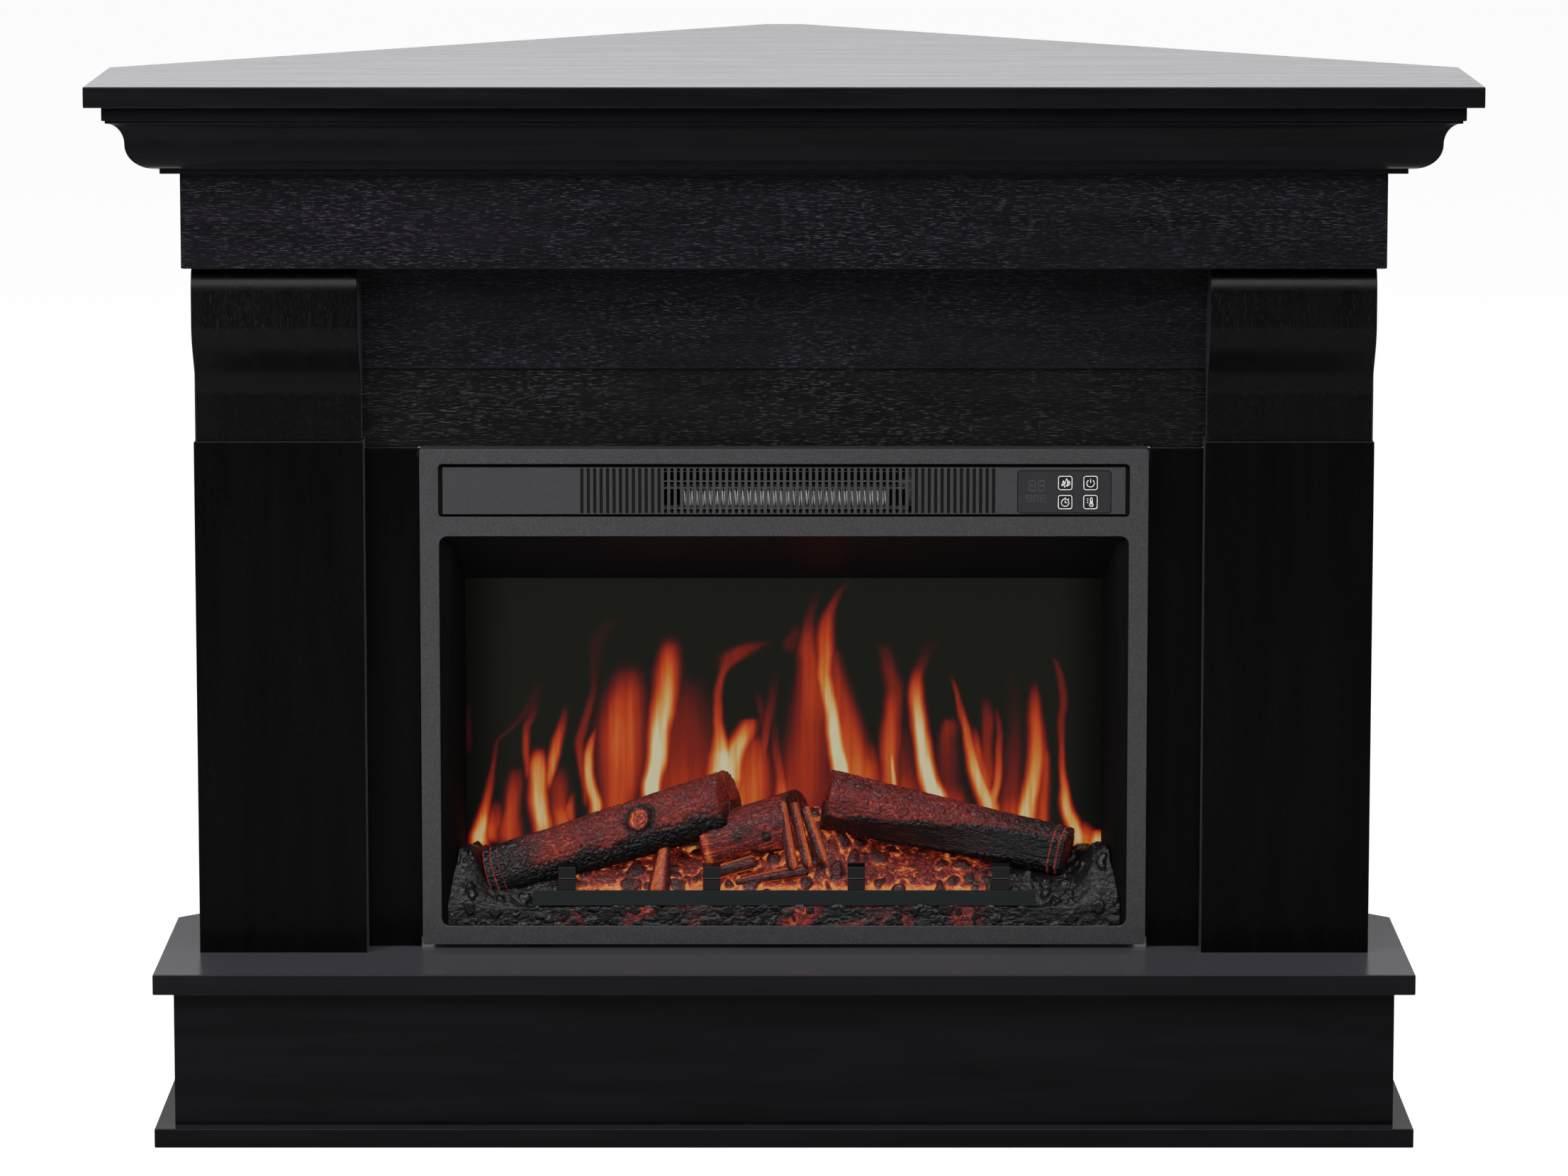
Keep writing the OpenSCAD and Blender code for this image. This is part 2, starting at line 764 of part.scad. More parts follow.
module control_window() {
    color([0.08, 0.08, 0.08]) difference() {
        plate(bezel_in, bezel_in + cwin_t) cwin_outline(0);
        plate(bezel_in - cut, bezel_in + cwin_t + cut)
            for (i = [0, 1], j = [0, 1]) key_outline(i, j, cap_gap);
    }
}

module key_button(i, j) {
    color([0.9, 0.9, 0.9]) {
        plate(bezel_in - button_proud, key_back - key_flange_t) key_outline(i, j, 0);
        plate(key_back - key_flange_t - eps, key_back) key_outline(i, j, key_flange_w);
        rod_y(button_xs[i], button_zs[j], key_back - eps, stem_end, stem_r);
    }
}

module flame_button() { key_button(0, 0); }
module power_button() { key_button(1, 0); }
module timer_button() { key_button(0, 1); }
module temperature_button() { key_button(1, 1); }

module control_board() {
    edge = 3;
    boss_r = 1.6;
    boss_z = [(fascia_z0 + pad_z0 + panel_t) / 2, (fascia_z1 + pad_z1 - panel_t) / 2];
    display_w = 24;
    display_h = 14;
    display_gap = 0.8;
    display_in = 17.5;
    display_up = 3;
    display_x = cwin_x0 + display_in;
    display_z = cwin_zc + display_up;
    plug_w = 16;
    plug_h = 10;
    plug_d = 3;
    color([0.05, 0.25, 0.12]) {
        block(cwin_x0 - edge, cwin_x1 + edge, board_s, board_s + pcb_t, fascia_z0, fascia_z1);
        for (x = [cwin_x0 + edge, cwin_x1 - edge], z = boss_z)
            rod_y(x, z, fascia_end, board_s + eps, boss_r);
        for (i = [0, 1], j = [0, 1])
            block(button_xs[i] - switch_w / 2, button_xs[i] + switch_w / 2,
                board_s - switch_h, board_s + eps,
                button_zs[j] - switch_w / 2, button_zs[j] + switch_w / 2);
        block(display_x - display_w / 2, display_x + display_w / 2,
            bezel_in + cwin_t + display_gap, board_s + eps,
            display_z - display_h / 2, display_z + display_h / 2);
        block(cwin_x - plug_w / 2, cwin_x + plug_w / 2, board_s + pcb_t - eps,
            board_s + pcb_t + plug_d, cwin_zc - plug_h / 2, cwin_zc + plug_h / 2);
    }
}

// ---- insert: housing ----

cover_flange = 14;
cover_screw_len = 8;
cover_screw_xs = [for (i = [-1 : 1]) i * (shell_x - cover_flange)];
cover_screw_zs = [shell_z + cover_flange / 2, shell_top - cover_flange / 2];
gland_in = 60;
gland_up = 45;
gland_x = shell_x - gland_in;
gland_z = shell_z + gland_up;

module cover_screws(play = 0) {
    for (x = cover_screw_xs, z = cover_screw_zs) {
        rod_y(x, z, shell_end - cover_screw_len, shell_end + sheet_t + play, screw_r + play);
        if (play == 0) rod_y(x, z, shell_end + sheet_t, shell_end + sheet_t + screw_head_h,
            screw_head_r);
    }
}

// the sheet-steel box: four walls, a flange for the rear cover, two skids and the tab
// that carries the free end of the flicker rod
module firebox_shell() {
    tab_x = -flicker_len / 2;
    tab_w = 24;
    skid_in = 100;
    skid_x = shell_x - skid_in;
    skid_front = 40;
    skid_rear = 10;
    color(steel) difference() {
        union() {
            difference() {
                block(-shell_x, shell_x, bezel_in, shell_end, shell_z, shell_top);
                block(sheet_t - shell_x, shell_x - sheet_t, bezel_in - cut,
                    shell_end - sheet_t, floor_z, shell_top - sheet_t);
                block(cover_flange - shell_x, shell_x - cover_flange,
                    shell_end - sheet_t - cut, shell_end + cut,
                    shell_z + cover_flange, shell_top - cover_flange);
            }
            for (x = [-skid_x, skid_x])
                block(x - skid_w / 2, x + skid_w / 2, bezel_s + skid_front,
                    shell_end - skid_rear, hearth_top, shell_z + eps);
            block(tab_x, tab_x + tab_t, rod_s - tab_w / 2, rod_s + tab_w / 2,
                floor_z - eps, rod_z + tab_w / 2);
        }
        rod_x(rod_s, rod_z, tab_x - cut, tab_x + tab_t + cut, rod_r + run_gap);
        cover_screws(screw_play);
        bracket_shell_holes();
    }
}

module vent_outline() {
    vent_w = 4;
    vent_h = 44;
    vent_margin = 60;
    vent_row = 90;
    vent_pitch = 2 * (shell_x - vent_margin) / (vents - 1);
    rows = [shell_top - vent_margin, shell_top - vent_margin - vent_row];
    for (i = [0 : vents - 1], z = rows)
        translate([(i - (vents - 1) / 2) * vent_pitch, z]) {
            square([vent_w, vent_h - vent_w], center = true);
            for (up = [-1, 1]) translate([0, up * (vent_h - vent_w) / 2]) circle(vent_w / 2);
        }
}

module rear_cover() {
    color(steel) difference() {
        block(-shell_x, shell_x, shell_end, shell_end + sheet_t, shell_z, shell_top);
        plate(shell_end - cut, shell_end + sheet_t + cut) vent_outline();
        cover_screws(screw_play);
        rod_y(gland_x, gland_z, shell_end - cut, shell_end + sheet_t + cut, gland_r);
    }
}

// the cord's gland, with a collar on both sides of the rear cover
module cord_gland() {
    collar_r = gland_r + 3;
    collar_t = 3;
    nose_r = gland_r - 1;
    tail_r = gland_r - 0.2;
    nose = 12;
    color([0.05, 0.05, 0.05]) difference() {
        union() {
            rod_y(gland_x, gland_z, shell_end - eps, shell_end + sheet_t + eps, gland_r);
            rod_y(gland_x, gland_z, shell_end + sheet_t, shell_end + sheet_t + collar_t, collar_r);
            rod_y(gland_x, gland_z, shell_end + sheet_t + collar_t - eps,
                shell_end + sheet_t + collar_t + nose, nose_r);
            rod_y(gland_x, gland_z, shell_end - collar_t - nose, shell_end, tail_r);
        }
        rod_y(gland_x, gland_z, shell_end - collar_t - nose - cut,
            shell_end + sheet_t + collar_t + nose + cut, gland_bore);
    }
}

// ---- insert: viewing space ----

valance_lift = 2;
valance_z = window_top + valance_lift;
valance_back_z = window_top - valance_drop;
module valance() {
    flange = 8;
    s0 = bezel_in;
    s1 = screen_s;
    t = sheet_t;
    color([0.04, 0.04, 0.05]) bar_x([[s0, valance_z + flange], [s0, valance_z],
        [s1, valance_back_z], [s1, valance_back_z + t], [s0 + t, valance_z + t],
        [s0 + t, valance_z + flange]], -cheek_x0 - t, cheek_x0 + t);
}

// how far a cheek stands from the middle, at a distance s
function cheek_x(s) = s < bezel_in + cheek_bend
    ? cheek_x0 - cheek_in * (s - bezel_in) / cheek_bend
    : cheek_x1 - (cheek_total - cheek_in) * (s - bezel_in - cheek_bend) / (view_d - cheek_bend);

// a cheek is bent from one sheet and is cut to the slope of the valance
module cheek(side) {
    t = sheet_t;
    gap = 0.4;
    s0 = bezel_in;
    s1 = bezel_in + cheek_bend;
    s2 = screen_s;
    color([0.04, 0.04, 0.05]) intersection() {
        slab(flip([[cheek_x0, s0], [cheek_x1, s1], [cheek_x2, s2], [cheek_x2 + t, s2],
            [cheek_x1 + t, s1], [cheek_x0 + t, s0]], side), floor_z, valance_z + cut);
        bar_x([[s0, floor_z], [s0, valance_z - gap], [s2, valance_back_z - gap], [s2, floor_z]],
            -shell_x, shell_x);
    }
}

module left_cheek() { cheek(-1); }
module right_cheek() { cheek(1); }

module flame_screen() {
    x1 = cheek_x2 + 3;
    z1 = valance_back_z + 2;
    color([0.12, 0.1, 0.09]) block(-x1, x1, screen_s, screen_s + screen_t, floor_z, z1);
}

// ---- insert: embers, logs and grate ----

ember_gap = 1;
ember_in = 4;
ember_screen_gap = 0.5;
ember_s0 = bezel_in + ember_in;
ember_s1 = ember_s0 + ledge_d;
ember_s2 = screen_s - ember_screen_gap;
ledge_z = floor_z + ember_front_h;
ember_z = floor_z + ember_back_h;
bend_s = bezel_in + cheek_bend;

// a flat ledge and a slope up to the screen; an inset keeps the wall even on the slope
module ember_solid(inset) {
    g = ember_gap + inset;
    on_slope = inset * 1.2;
    intersection() {
        bar_x([[ember_s0 + inset, floor_z], [ember_s0 + inset, ledge_z - inset],
            [ember_s1 + inset / 2, ledge_z - inset], [ember_s2 - inset, ember_z - on_slope],
            [ember_s2 - inset, floor_z]], -cheek_x0, cheek_x0);
        slab([[-cheek_x(ember_s0) + g, ember_s0], [cheek_x(ember_s0) - g, ember_s0],
            [cheek_x1 - g, bend_s], [cheek_x2 - g, ember_s2],
            [g - cheek_x2, ember_s2], [g - cheek_x1, bend_s]], floor_z - cut, ember_z + cut);
    }
}

// the middle log is moulded with the ember bed; the two side logs rest on both. A log
// end has its place from the middle, in front of the screen and above the ledge.
mid_log_x0 = -88;
mid_log_x1 = 34;
mid_log_front0 = 38;
mid_log_front1 = 30;
mid_log_up0 = 48;
mid_log_up1 = 66;
mid_log_from = [mid_log_x0, screen_s - mid_log_front0, ledge_z + mid_log_up0];
mid_log_to = [mid_log_x1, screen_s - mid_log_front1, ledge_z + mid_log_up1];
module log_body(from, to, r0, r1) {
    d = to - from;
    len = norm(d);
    translate([from[0], front_y + from[1], from[2]])
        rotate([0, acos(d[2] / len), atan2(d[1], d[0])]) cylinder(h = len, r1 = r0, r2 = r1);
}

module mid_log(grow) {
    log_body(mid_log_from, mid_log_to, mid_log_r + grow, mid_log_r + grow);
}

module ember_bed() {
    color([0.15, 0.07, 0.05]) difference() {
        union() {
            ember_solid(0);
            mid_log(0);
        }
        difference() {
            ember_solid(ember_t);
            mid_log(0);
        }
    }
}

log_top_x = 47;
log_top_front = 34;
log_top_up = 91;
left_log_side = 20;
left_log_front = 50;
left_log_up = 21;
right_log_side = 30;
right_log_front = 42;
right_log_up = 40;
left_log_low = [left_log_side - cheek_x2, screen_s - left_log_front, ledge_z + left_log_up];
left_log_high = [-log_top_x, screen_s - log_top_front, ledge_z + log_top_up];
right_log_high = [log_top_x, screen_s - log_top_front, ledge_z + log_top_up];
right_log_low = [cheek_x2 - right_log_side, screen_s - right_log_front,
    ledge_z + right_log_up];
log_gap = 0.3;

module side_log(low, high) {
    color([0.12, 0.08, 0.07]) difference() {
        log_body(low, high, log_r_low, log_r_high);
        translate([0, 0, log_gap]) ember_solid(-log_gap);
        mid_log(log_gap);
    }
}

module left_log() { side_log(left_log_low, left_log_high); }
module right_log() { side_log(right_log_low, right_log_high); }

grate_in = 4;
grate_s = ember_s0 + grate_in;
grate_top = ledge_z + grate_h;
module grate_rail() {
    color([0.22, 0.22, 0.22]) block(-rail_len / 2, rail_len / 2, grate_s, grate_s + grate_t,
        ledge_z, grate_top);
}

clip_pitch = (rail_len - 2 * clip_in) / (clips - 1);
clip_xs = [for (i = [0 : clips - 1]) clip_in - rail_len / 2 + i * clip_pitch];
module grate_clips() {
    s0 = grate_s + grate_t;
    s1 = s0 + grate_t;
    hook = 8;
    hook_up = 2;
    top = grate_top + clip_rise;
    color([0.04, 0.04, 0.04]) for (x = clip_xs)
        bar_x([[s0, ledge_z], [s1, ledge_z], [s1, top - grate_t],
            [s1 + hook, top - grate_t + hook_up], [s1 + hook, top + hook_up], [s0, top]],
            x - clip_w / 2, x + clip_w / 2);
}

// ---- insert: heater and blower ----

// the coil is one tube of six sides, swept along a helix with eight rings a turn
coil_mid_r = coil_r - wire_r;
rings_per_turn = 8;
wire_sides = 6;
coil_pitch = coil_len / coil_turns;
coil_end_x = coil_len / 2;
coil_lead = 2 * wire_r + 0.6;
coil_rings = coil_turns * rings_per_turn;
function coil_point(i) = let (a = 360 * i / rings_per_turn)
    [heater_x - coil_end_x + coil_pitch * i / rings_per_turn,
        front_y + heater_s + coil_mid_r * sin(a), coil_z + coil_mid_r * cos(a)];
function coil_tangent(i) = let (a = 360 * i / rings_per_turn,
    t = [coil_len / (coil_turns * 2 * PI * coil_mid_r), cos(a), -sin(a)]) t / norm(t);
function ring_at(p, t, u) = let (v = cross(t, u))
    [for (k = [0 : wire_sides - 1]) let (a = 360 * k / wire_sides)
        p + wire_r * (u * cos(a) + v * sin(a))];
function coil_ring(i) = let (a = 360 * i / rings_per_turn)
    ring_at(coil_point(i), coil_tangent(i), [0, sin(a), cos(a)]);
function lead_ring(i, x) = let (p = coil_point(i), a = 360 * i / rings_per_turn)
    ring_at([x, p[1], p[2]], [1, 0, 0], [0, sin(a), cos(a)]);
coil_all_rings = concat(
    [lead_ring(0, heater_x - coil_end_x - coil_lead - wire_r)],
    [lead_ring(0, heater_x - coil_end_x - wire_r)],
    [for (i = [1 : coil_rings - 1]) coil_ring(i)],
    [lead_ring(coil_rings, heater_x + coil_end_x + wire_r)],
    [lead_ring(coil_rings, heater_x + coil_end_x + coil_lead + wire_r)]);
coil_last = len(coil_all_rings) - 1;

// the least gap of the coil to itself, between neighbouring turns on its centre line
coil_self_gap = min([for (i = [0 : rings_per_turn - 1], k = [-1 : 1])
    norm(coil_point(i + rings_per_turn + k) - coil_point(i + 1)) ]) - 2 * wire_r;

module heater_coil() {
    echo(coil_self_gap = coil_self_gap);
    color([0.75, 0.72, 0.65]) polyhedron(
        points = [for (ring = coil_all_rings) each ring],
        faces = concat(
            [[for (k = [0 : wire_sides - 1]) k]],
            [for (i = [0 : coil_last - 1], k = [0 : wire_sides - 1])
                let (a = i * wire_sides + k, b = i * wire_sides + (k + 1) % wire_sides)
                each [[a, a + wire_sides, b], [b, a + wire_sides, b + wire_sides]]],
            [[for (k = [wire_sides - 1 : -1 : 0]) coil_last * wire_sides + k]]));
}

module heater_frame() {
    coil_gap = 0.4;
    z1 = coil_z + coil_r + coil_gap;
    z0 = coil_z - coil_r - coil_gap;
    x0 = heater_x - heater_len / 2;
    x1 = heater_x + heater_len / 2;
    s0 = heater_s - heater_d / 2;
    s1 = blower_s;
    plate_x = coil_end_x + coil_lead + wire_r;
    stud_r = 2.2;
    stud_h = 5;
    stud_in = 6;
    stud_back = 4;
    stud_x = heater_len / 2 - stud_in;
    stud_s = s0 + stud_back;
    color([0.55, 0.52, 0.45]) {
        block(x0, x1, s0, s1, z1, z1 + mica_t);
        block(x0, x1, s0, s1, z0 - mica_t, z0);
        for (side = [-1, 1]) {
            xp = heater_x + side * (plate_x + mica_t / 2);
            block(xp - mica_t / 2, xp + mica_t / 2, s0, s1, z0 - eps, z1 + eps);
            translate([heater_x + side * stud_x, front_y + stud_s, z0 - mica_t - stud_h])
                cylinder(h = stud_h + eps, r = stud_r);
        }
    }
}

module blower_housing() {
    x0 = heater_x - blower_w / 2;
    x1 = heater_x + blower_w / 2;
    s1 = blower_s + blower_d;
    room_r = wheel_r + 3;
    port_in = 10;
    outlet_z0 = coil_z - coil_r;
    outlet_z1 = coil_z + coil_r;
    inlet_up = 4;
    inlet_h = 16;
    inlet_z0 = wheel_z + inlet_up;
    inlet_z1 = inlet_z0 + inlet_h;
    color(steel) difference() {
        block(x0, x1, blower_s, s1, blower_z0, blower_z1);
        rod_x(wheel_s, wheel_z, x0 + end_t, x1 - end_t, room_r);
        block(x0 + end_t, x1 - end_t, blower_s - cut, wheel_s - port_in, outlet_z0, outlet_z1);
        block(x0 + end_t, x1 - end_t, wheel_s + port_in, s1 + cut, inlet_z0, inlet_z1);
        rod_x(wheel_s, wheel_z, x0 - cut, x1 + cut, shaft_r + run_gap);
    }
}

module blower_wheel() {
    x0 = heater_x - wheel_len / 2;
    x1 = heater_x + wheel_len / 2;
    disc_t = 1.2;
    blade_t = 0.9;
    blade_d = 6;
    blade_len = 5.2;
    blade_tilt = 25;
    shaft_x0 = heater_x - blower_w / 2 + 0.5;
    shaft_x1 = heater_x + blower_w / 2 + shaft_bite;
    color([0.6, 0.6, 0.62]) {
        for (x = [x0, heater_x - disc_t / 2, x1 - disc_t])
            rod_x(wheel_s, wheel_z, x, x + disc_t, wheel_r);
        for (i = [0 : blades - 1])
            translate([x0, front_y + wheel_s, wheel_z]) rotate([360 * i / blades, 0, 0])
                translate([0, wheel_r - blade_d, 0]) rotate([blade_tilt, 0, 0])
                    cube([wheel_len, blade_len, blade_t]);
        rod_x(wheel_s, wheel_z, shaft_x0, shaft_x1, shaft_r);
    }
}

module blower_motor() {
    x0 = heater_x + blower_w / 2;
    stack_in = 8;
    stack_w = 46;
    stack_t = 16;
    can_r = 15;
    length = 34;
    color([0.4, 0.4, 0.42]) difference() {
        union() {
            rod_x(wheel_s, wheel_z, x0, x0 + length, can_r);
            block(x0 + stack_in, x0 + stack_in + stack_t, wheel_s - stack_w / 2, wheel_s + stack_w / 2,
                wheel_z - stack_w / 2, wheel_z + stack_w / 2);
        }
        rod_x(wheel_s, wheel_z, x0 - cut, x0 + shaft_bite + cut, shaft_r + run_gap);
    }
}

// ---- insert: flame mechanism ----

module flicker_rod() {
    x0 = -flicker_len / 2 + 0.5;
    x1 = flicker_len / 2 + rod_bite;
    fin_w = 11;
    fin_t = 0.8;
    fin_turn = 75;
    fin_margin = 18;
    room = flicker_len - 2 * fin_margin;
    color([0.85, 0.85, 0.87]) {
        rod_x(rod_s, rod_z, x0, x1, rod_r);
        for (i = [0 : fins - 1])
            translate([-room / 2 + room * i / (fins - 1), front_y + rod_s, rod_z])
                rotate([fin_turn * i, 0, 0]) cube([fin_w, fin_t, 2 * fin_r], center = true);
    }
}

module flicker_motor() {
    x0 = flicker_len / 2;
    foot_w = 30;
    color([0.5, 0.5, 0.45]) difference() {
        union() {
            rod_x(rod_s, rod_z, x0, x0 + motor_len, motor_r);
            block(x0, x0 + tab_t, rod_s - foot_w / 2, rod_s + foot_w / 2, floor_z, rod_z);
        }
        rod_x(rod_s, rod_z, x0 - cut, x0 + rod_bite + cut, rod_r + run_gap);
    }
}

// one strip of lamps shines on the flicker rod and one lights the ember bed from inside
led_count = 24;
module led_strips() {
    strip_w = 12;
    strip_back = 22;
    led = 3.5;
    led_h = 1.4;
    strip_margin = 30;
    length = flicker_len - 2 * strip_margin;
    color([0.9, 0.9, 0.8]) for (s = [rod_s + strip_back, (ember_s1 + ember_s2) / 2]) {
        block(-length / 2, length / 2, s - strip_w / 2, s + strip_w / 2, floor_z, floor_z + pcb_t);
        for (i = [0 : led_count - 1]) {
            x = -length / 2 + length * (i + 0.5) / led_count;
            block(x - led / 2, x + led / 2, s - led / 2, s + led / 2,
                floor_z + pcb_t - eps, floor_z + pcb_t + led_h);
        }
    }
}

// ---- insert: fixing in the mantel ----

angle_t = 2;
angle_w = 26;
angle_h = 36;
angle_in = 90;
angle_leg_gap = 10;
angle_zs = [hearth_top + angle_in, lintel_z - angle_in];
angle_s = stile_s + board_t;
angle_screw_s = angle_s + angle_t + angle_w / 2;
angle_x1 = column_x0 - angle_leg_gap;
angle_screw_x = (open_x + column_x0) / 2;
shell_screw_len = 7;
stile_screw_len = 13;

// each angle joins a side of the housing to the back of a stile
module insert_brackets() {
    color("silver") difference() {
        for (side = [-1, 1], z = angle_zs)
            slab(flip([[shell_x, angle_s], [angle_x1, angle_s],
                [angle_x1, angle_s + angle_t], [shell_x + angle_t, angle_s + angle_t],
                [shell_x + angle_t, angle_s + angle_w], [shell_x, angle_s + angle_w]], side),
                z - angle_h / 2, z + angle_h / 2);
        bracket_shell_holes();
        bracket_stile_screws(screw_play);
    }
}

module bracket_shell_holes() {
    reach = shell_screw_len + cut;
    for (side = [-1, 1], z = angle_zs)
        rod_x(angle_screw_s, z, side * shell_x - reach, side * shell_x + reach,
            screw_r + screw_play);
}

module bracket_shell_screws() {
    for (side = [-1, 1], z = angle_zs) {
        x = side * (shell_x + angle_t);
        rod_x(angle_screw_s, z, side > 0 ? x - shell_screw_len : x,
            side > 0 ? x : x + shell_screw_len, screw_r);
        rod_x(angle_screw_s, z, side > 0 ? x : x - screw_head_h,
            side > 0 ? x + screw_head_h : x, screw_head_r);
    }
}

// the heads lie on the angle's back, and the threads go forward into the stile
module bracket_stile_screws(play = 0) {
    for (side = [-1, 1], z = angle_zs) {
        x = side * angle_screw_x;
        rod_y(x, z, angle_s - stile_screw_len - play, angle_s + angle_t + eps, screw_r + play);
        if (play == 0) rod_y(x, z, angle_s + angle_t, angle_s + angle_t + screw_head_h,
            screw_head_r);
    }
}

module insert_screws() {
    color("silver") {
        cover_screws();
        bracket_shell_screws();
        bracket_stile_screws();
    }
}

top_board();
sub_top();
cornice_front();
cornice_left_return();
cornice_right_return();
frieze_front();
frieze_left_return();
frieze_right_return();
frieze_soffit();
upper_header();
lintel();
left_bracket();
right_bracket();
left_column();
right_column();
left_stile();
right_stile();
left_side_panel();
right_side_panel();
rear_post();
upper_left_rail();
upper_right_rail();
hearth_board();
plinth_front();
plinth_left_return();
plinth_right_return();
plinth_left_rail();
plinth_right_rail();
base_board();
mantel_screws();
bezel();
control_fascia();
control_window();
flame_button();
power_button();
timer_button();
temperature_button();
control_board();
firebox_shell();
rear_cover();
valance();
left_cheek();
right_cheek();
flame_screen();
ember_bed();
left_log();
right_log();
grate_rail();
grate_clips();
heater_coil();
heater_frame();
blower_housing();
blower_wheel();
blower_motor();
flicker_rod();
flicker_motor();
led_strips();
cord_gland();
insert_brackets();
insert_screws();
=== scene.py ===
import math

import bmesh
import bpy
from mathutils import Matrix, Vector, noise


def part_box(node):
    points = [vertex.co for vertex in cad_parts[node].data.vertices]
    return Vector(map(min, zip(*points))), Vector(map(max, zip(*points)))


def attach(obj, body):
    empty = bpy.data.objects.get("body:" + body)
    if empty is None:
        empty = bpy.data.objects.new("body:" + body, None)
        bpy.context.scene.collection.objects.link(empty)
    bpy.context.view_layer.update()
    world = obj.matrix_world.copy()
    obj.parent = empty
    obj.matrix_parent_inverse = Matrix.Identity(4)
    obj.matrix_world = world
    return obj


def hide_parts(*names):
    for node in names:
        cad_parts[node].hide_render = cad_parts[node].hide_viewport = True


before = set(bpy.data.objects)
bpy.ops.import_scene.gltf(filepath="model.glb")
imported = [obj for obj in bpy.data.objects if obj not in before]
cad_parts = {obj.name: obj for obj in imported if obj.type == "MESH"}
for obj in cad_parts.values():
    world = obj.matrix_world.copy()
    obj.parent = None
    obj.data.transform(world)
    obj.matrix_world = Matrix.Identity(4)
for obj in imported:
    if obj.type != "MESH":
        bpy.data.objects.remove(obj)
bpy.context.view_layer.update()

mm = 0.001

# ---- Camera ----
# It looks at the mantel from the front and a little from above, with a long lens, and
# is tilted down without any shift.
camera_back = 6.632
camera_height = 1.453
camera_tilt = math.radians(8.48)
camera = bpy.data.objects.new("front_camera", bpy.data.cameras.new("front_camera"))
camera.data.sensor_width = 36
camera.data.lens = 157.6
camera.data.clip_end = 100
camera.location = (0, -camera_back, camera_height)
camera.rotation_euler = (math.pi / 2 - camera_tilt, 0, 0)
bpy.context.scene.collection.objects.link(camera)
bpy.context.scene.camera = camera
bpy.context.scene.view_settings.view_transform = "Standard"

# ---- Studio ----
# A pale floor, soft lights above, in front and to both sides, and a white card high behind
# the mantel. The near side of the room is dim, so the dark front shows few reflections.


class Signal:
    """A socket of a node tree. Arithmetic on it adds Math nodes to its tree."""

    def __init__(self, socket):
        self.socket = socket

    def node(self, kind, settings, values, output=0):
        """Adds a node: its settings first, then the values or links of its sockets."""
        tree = self.socket.id_data
        made = tree.nodes.new(kind)
        for name, setting in settings.items():
            if name == "stops":
                ramp = made.color_ramp.elements
                while len(ramp) < len(setting):
                    ramp.new(0.5)
                for stop, (place, shade) in zip(ramp, setting):
                    stop.position = place
                    stop.color = (*shade, 1)
            elif name == "curves":
                made.mapping.extend = "HORIZONTAL"
                for curve, points in zip(made.mapping.curves, setting):
                    while len(curve.points) < len(points):
                        curve.points.new(0.5, 0.5)
                    for point, place in zip(curve.points, points):
                        point.location = place
                        point.handle_type = "AUTO_CLAMPED"
                made.mapping.update()
            else:
                setattr(made, name, setting)
        for name, value in values.items():
            if isinstance(value, Signal):
                tree.links.new(value.socket, made.inputs[name])
            else:
                made.inputs[name].default_value = value
        return Signal(made.outputs[output])

    def maths(self, operation, *others):
        values = dict(enumerate((self, *others)))
        return self.node("ShaderNodeMath", {"operation": operation}, values)

    def __add__(self, other):
        return self.maths("ADD", other)

    def __mul__(self, other):
        return self.maths("MULTIPLY", other)

    def __sub__(self, other):
        return self.maths("SUBTRACT", other)

    def __rsub__(self, other):
        return (self * -1).maths("ADD", other)

    def __truediv__(self, other):
        return self.maths("DIVIDE", other)

    def __pow__(self, other):
        return self.maths("POWER", other)

    __radd__ = __add__
    __rmul__ = __mul__

    def between(self, low, high, to_low=0.0, to_high=1.0):
        """Goes smoothly from to_low to to_high while this goes from low to high."""
        values = {"Value": self, 1: low, 2: high, 3: to_low, 4: to_high}
        return self.node("ShaderNodeMapRange", {"interpolation_type": "SMOOTHSTEP"}, values)

    def mix(self, first, second):
        """The colour first where this is 0, second where it is 1."""
        ends = {0: self, 6: first, 7: second}
        return self.node("ShaderNodeMix", {"data_type": "RGBA"}, ends, output=2)

    def part(self, axis):
        """One of the three parts of a place: 0 across, 1 deep, 2 up."""
        return self.node("ShaderNodeSeparateXYZ", {}, {0: self}, output=axis)


def shade(red, green, blue):
    return (red, green, blue, 1.0)


world = bpy.data.worlds.new("studio")
world.use_nodes = True
bpy.context.scene.world = world
world_tree = world.node_tree
world_tree.nodes.clear()
ray = world_tree.nodes.new("ShaderNodeLightPath")
seen = Signal(ray.outputs["Is Camera Ray"])
mirrored = Signal(ray.outputs["Is Glossy Ray"])
direction = seen.node("ShaderNodeTexCoord", {}, {})
ambient, ambient_blue = 0.24, 0.25
near_side, far_side = 0.05, 0.26
far_begins, far_full = 0.1, 0.7
far_dark, far_lit = 0.72, 0.3
far_wall = (direction.part(1).between(far_begins, far_full)
    * direction.part(2).between(far_dark, far_lit))
reflected = far_wall * (far_side - near_side) + near_side
level = mirrored.mix(shade(ambient, ambient, ambient_blue), reflected)
shown = seen.mix(level, shade(1, 1, 1))
background = world_tree.nodes.new("ShaderNodeBackground")
world_output = world_tree.nodes.new("ShaderNodeOutputWorld")
world_tree.links.new(shown.socket, background.inputs["Color"])
world_tree.links.new(background.outputs[0], world_output.inputs["Surface"])


def material(name, **constants):
    """A Principled material; returns it, its shader node and its Object coordinates."""
    made = bpy.data.materials.new(name)
    made.use_nodes = True
    tree = made.node_tree
    shader = tree.nodes["Principled BSDF"]
    for socket, value in constants.items():
        shader.inputs[socket.replace("_", " ")].default_value = value
    place = Signal(tree.nodes.new("ShaderNodeTexCoord").outputs["Object"])
    return made, shader, place


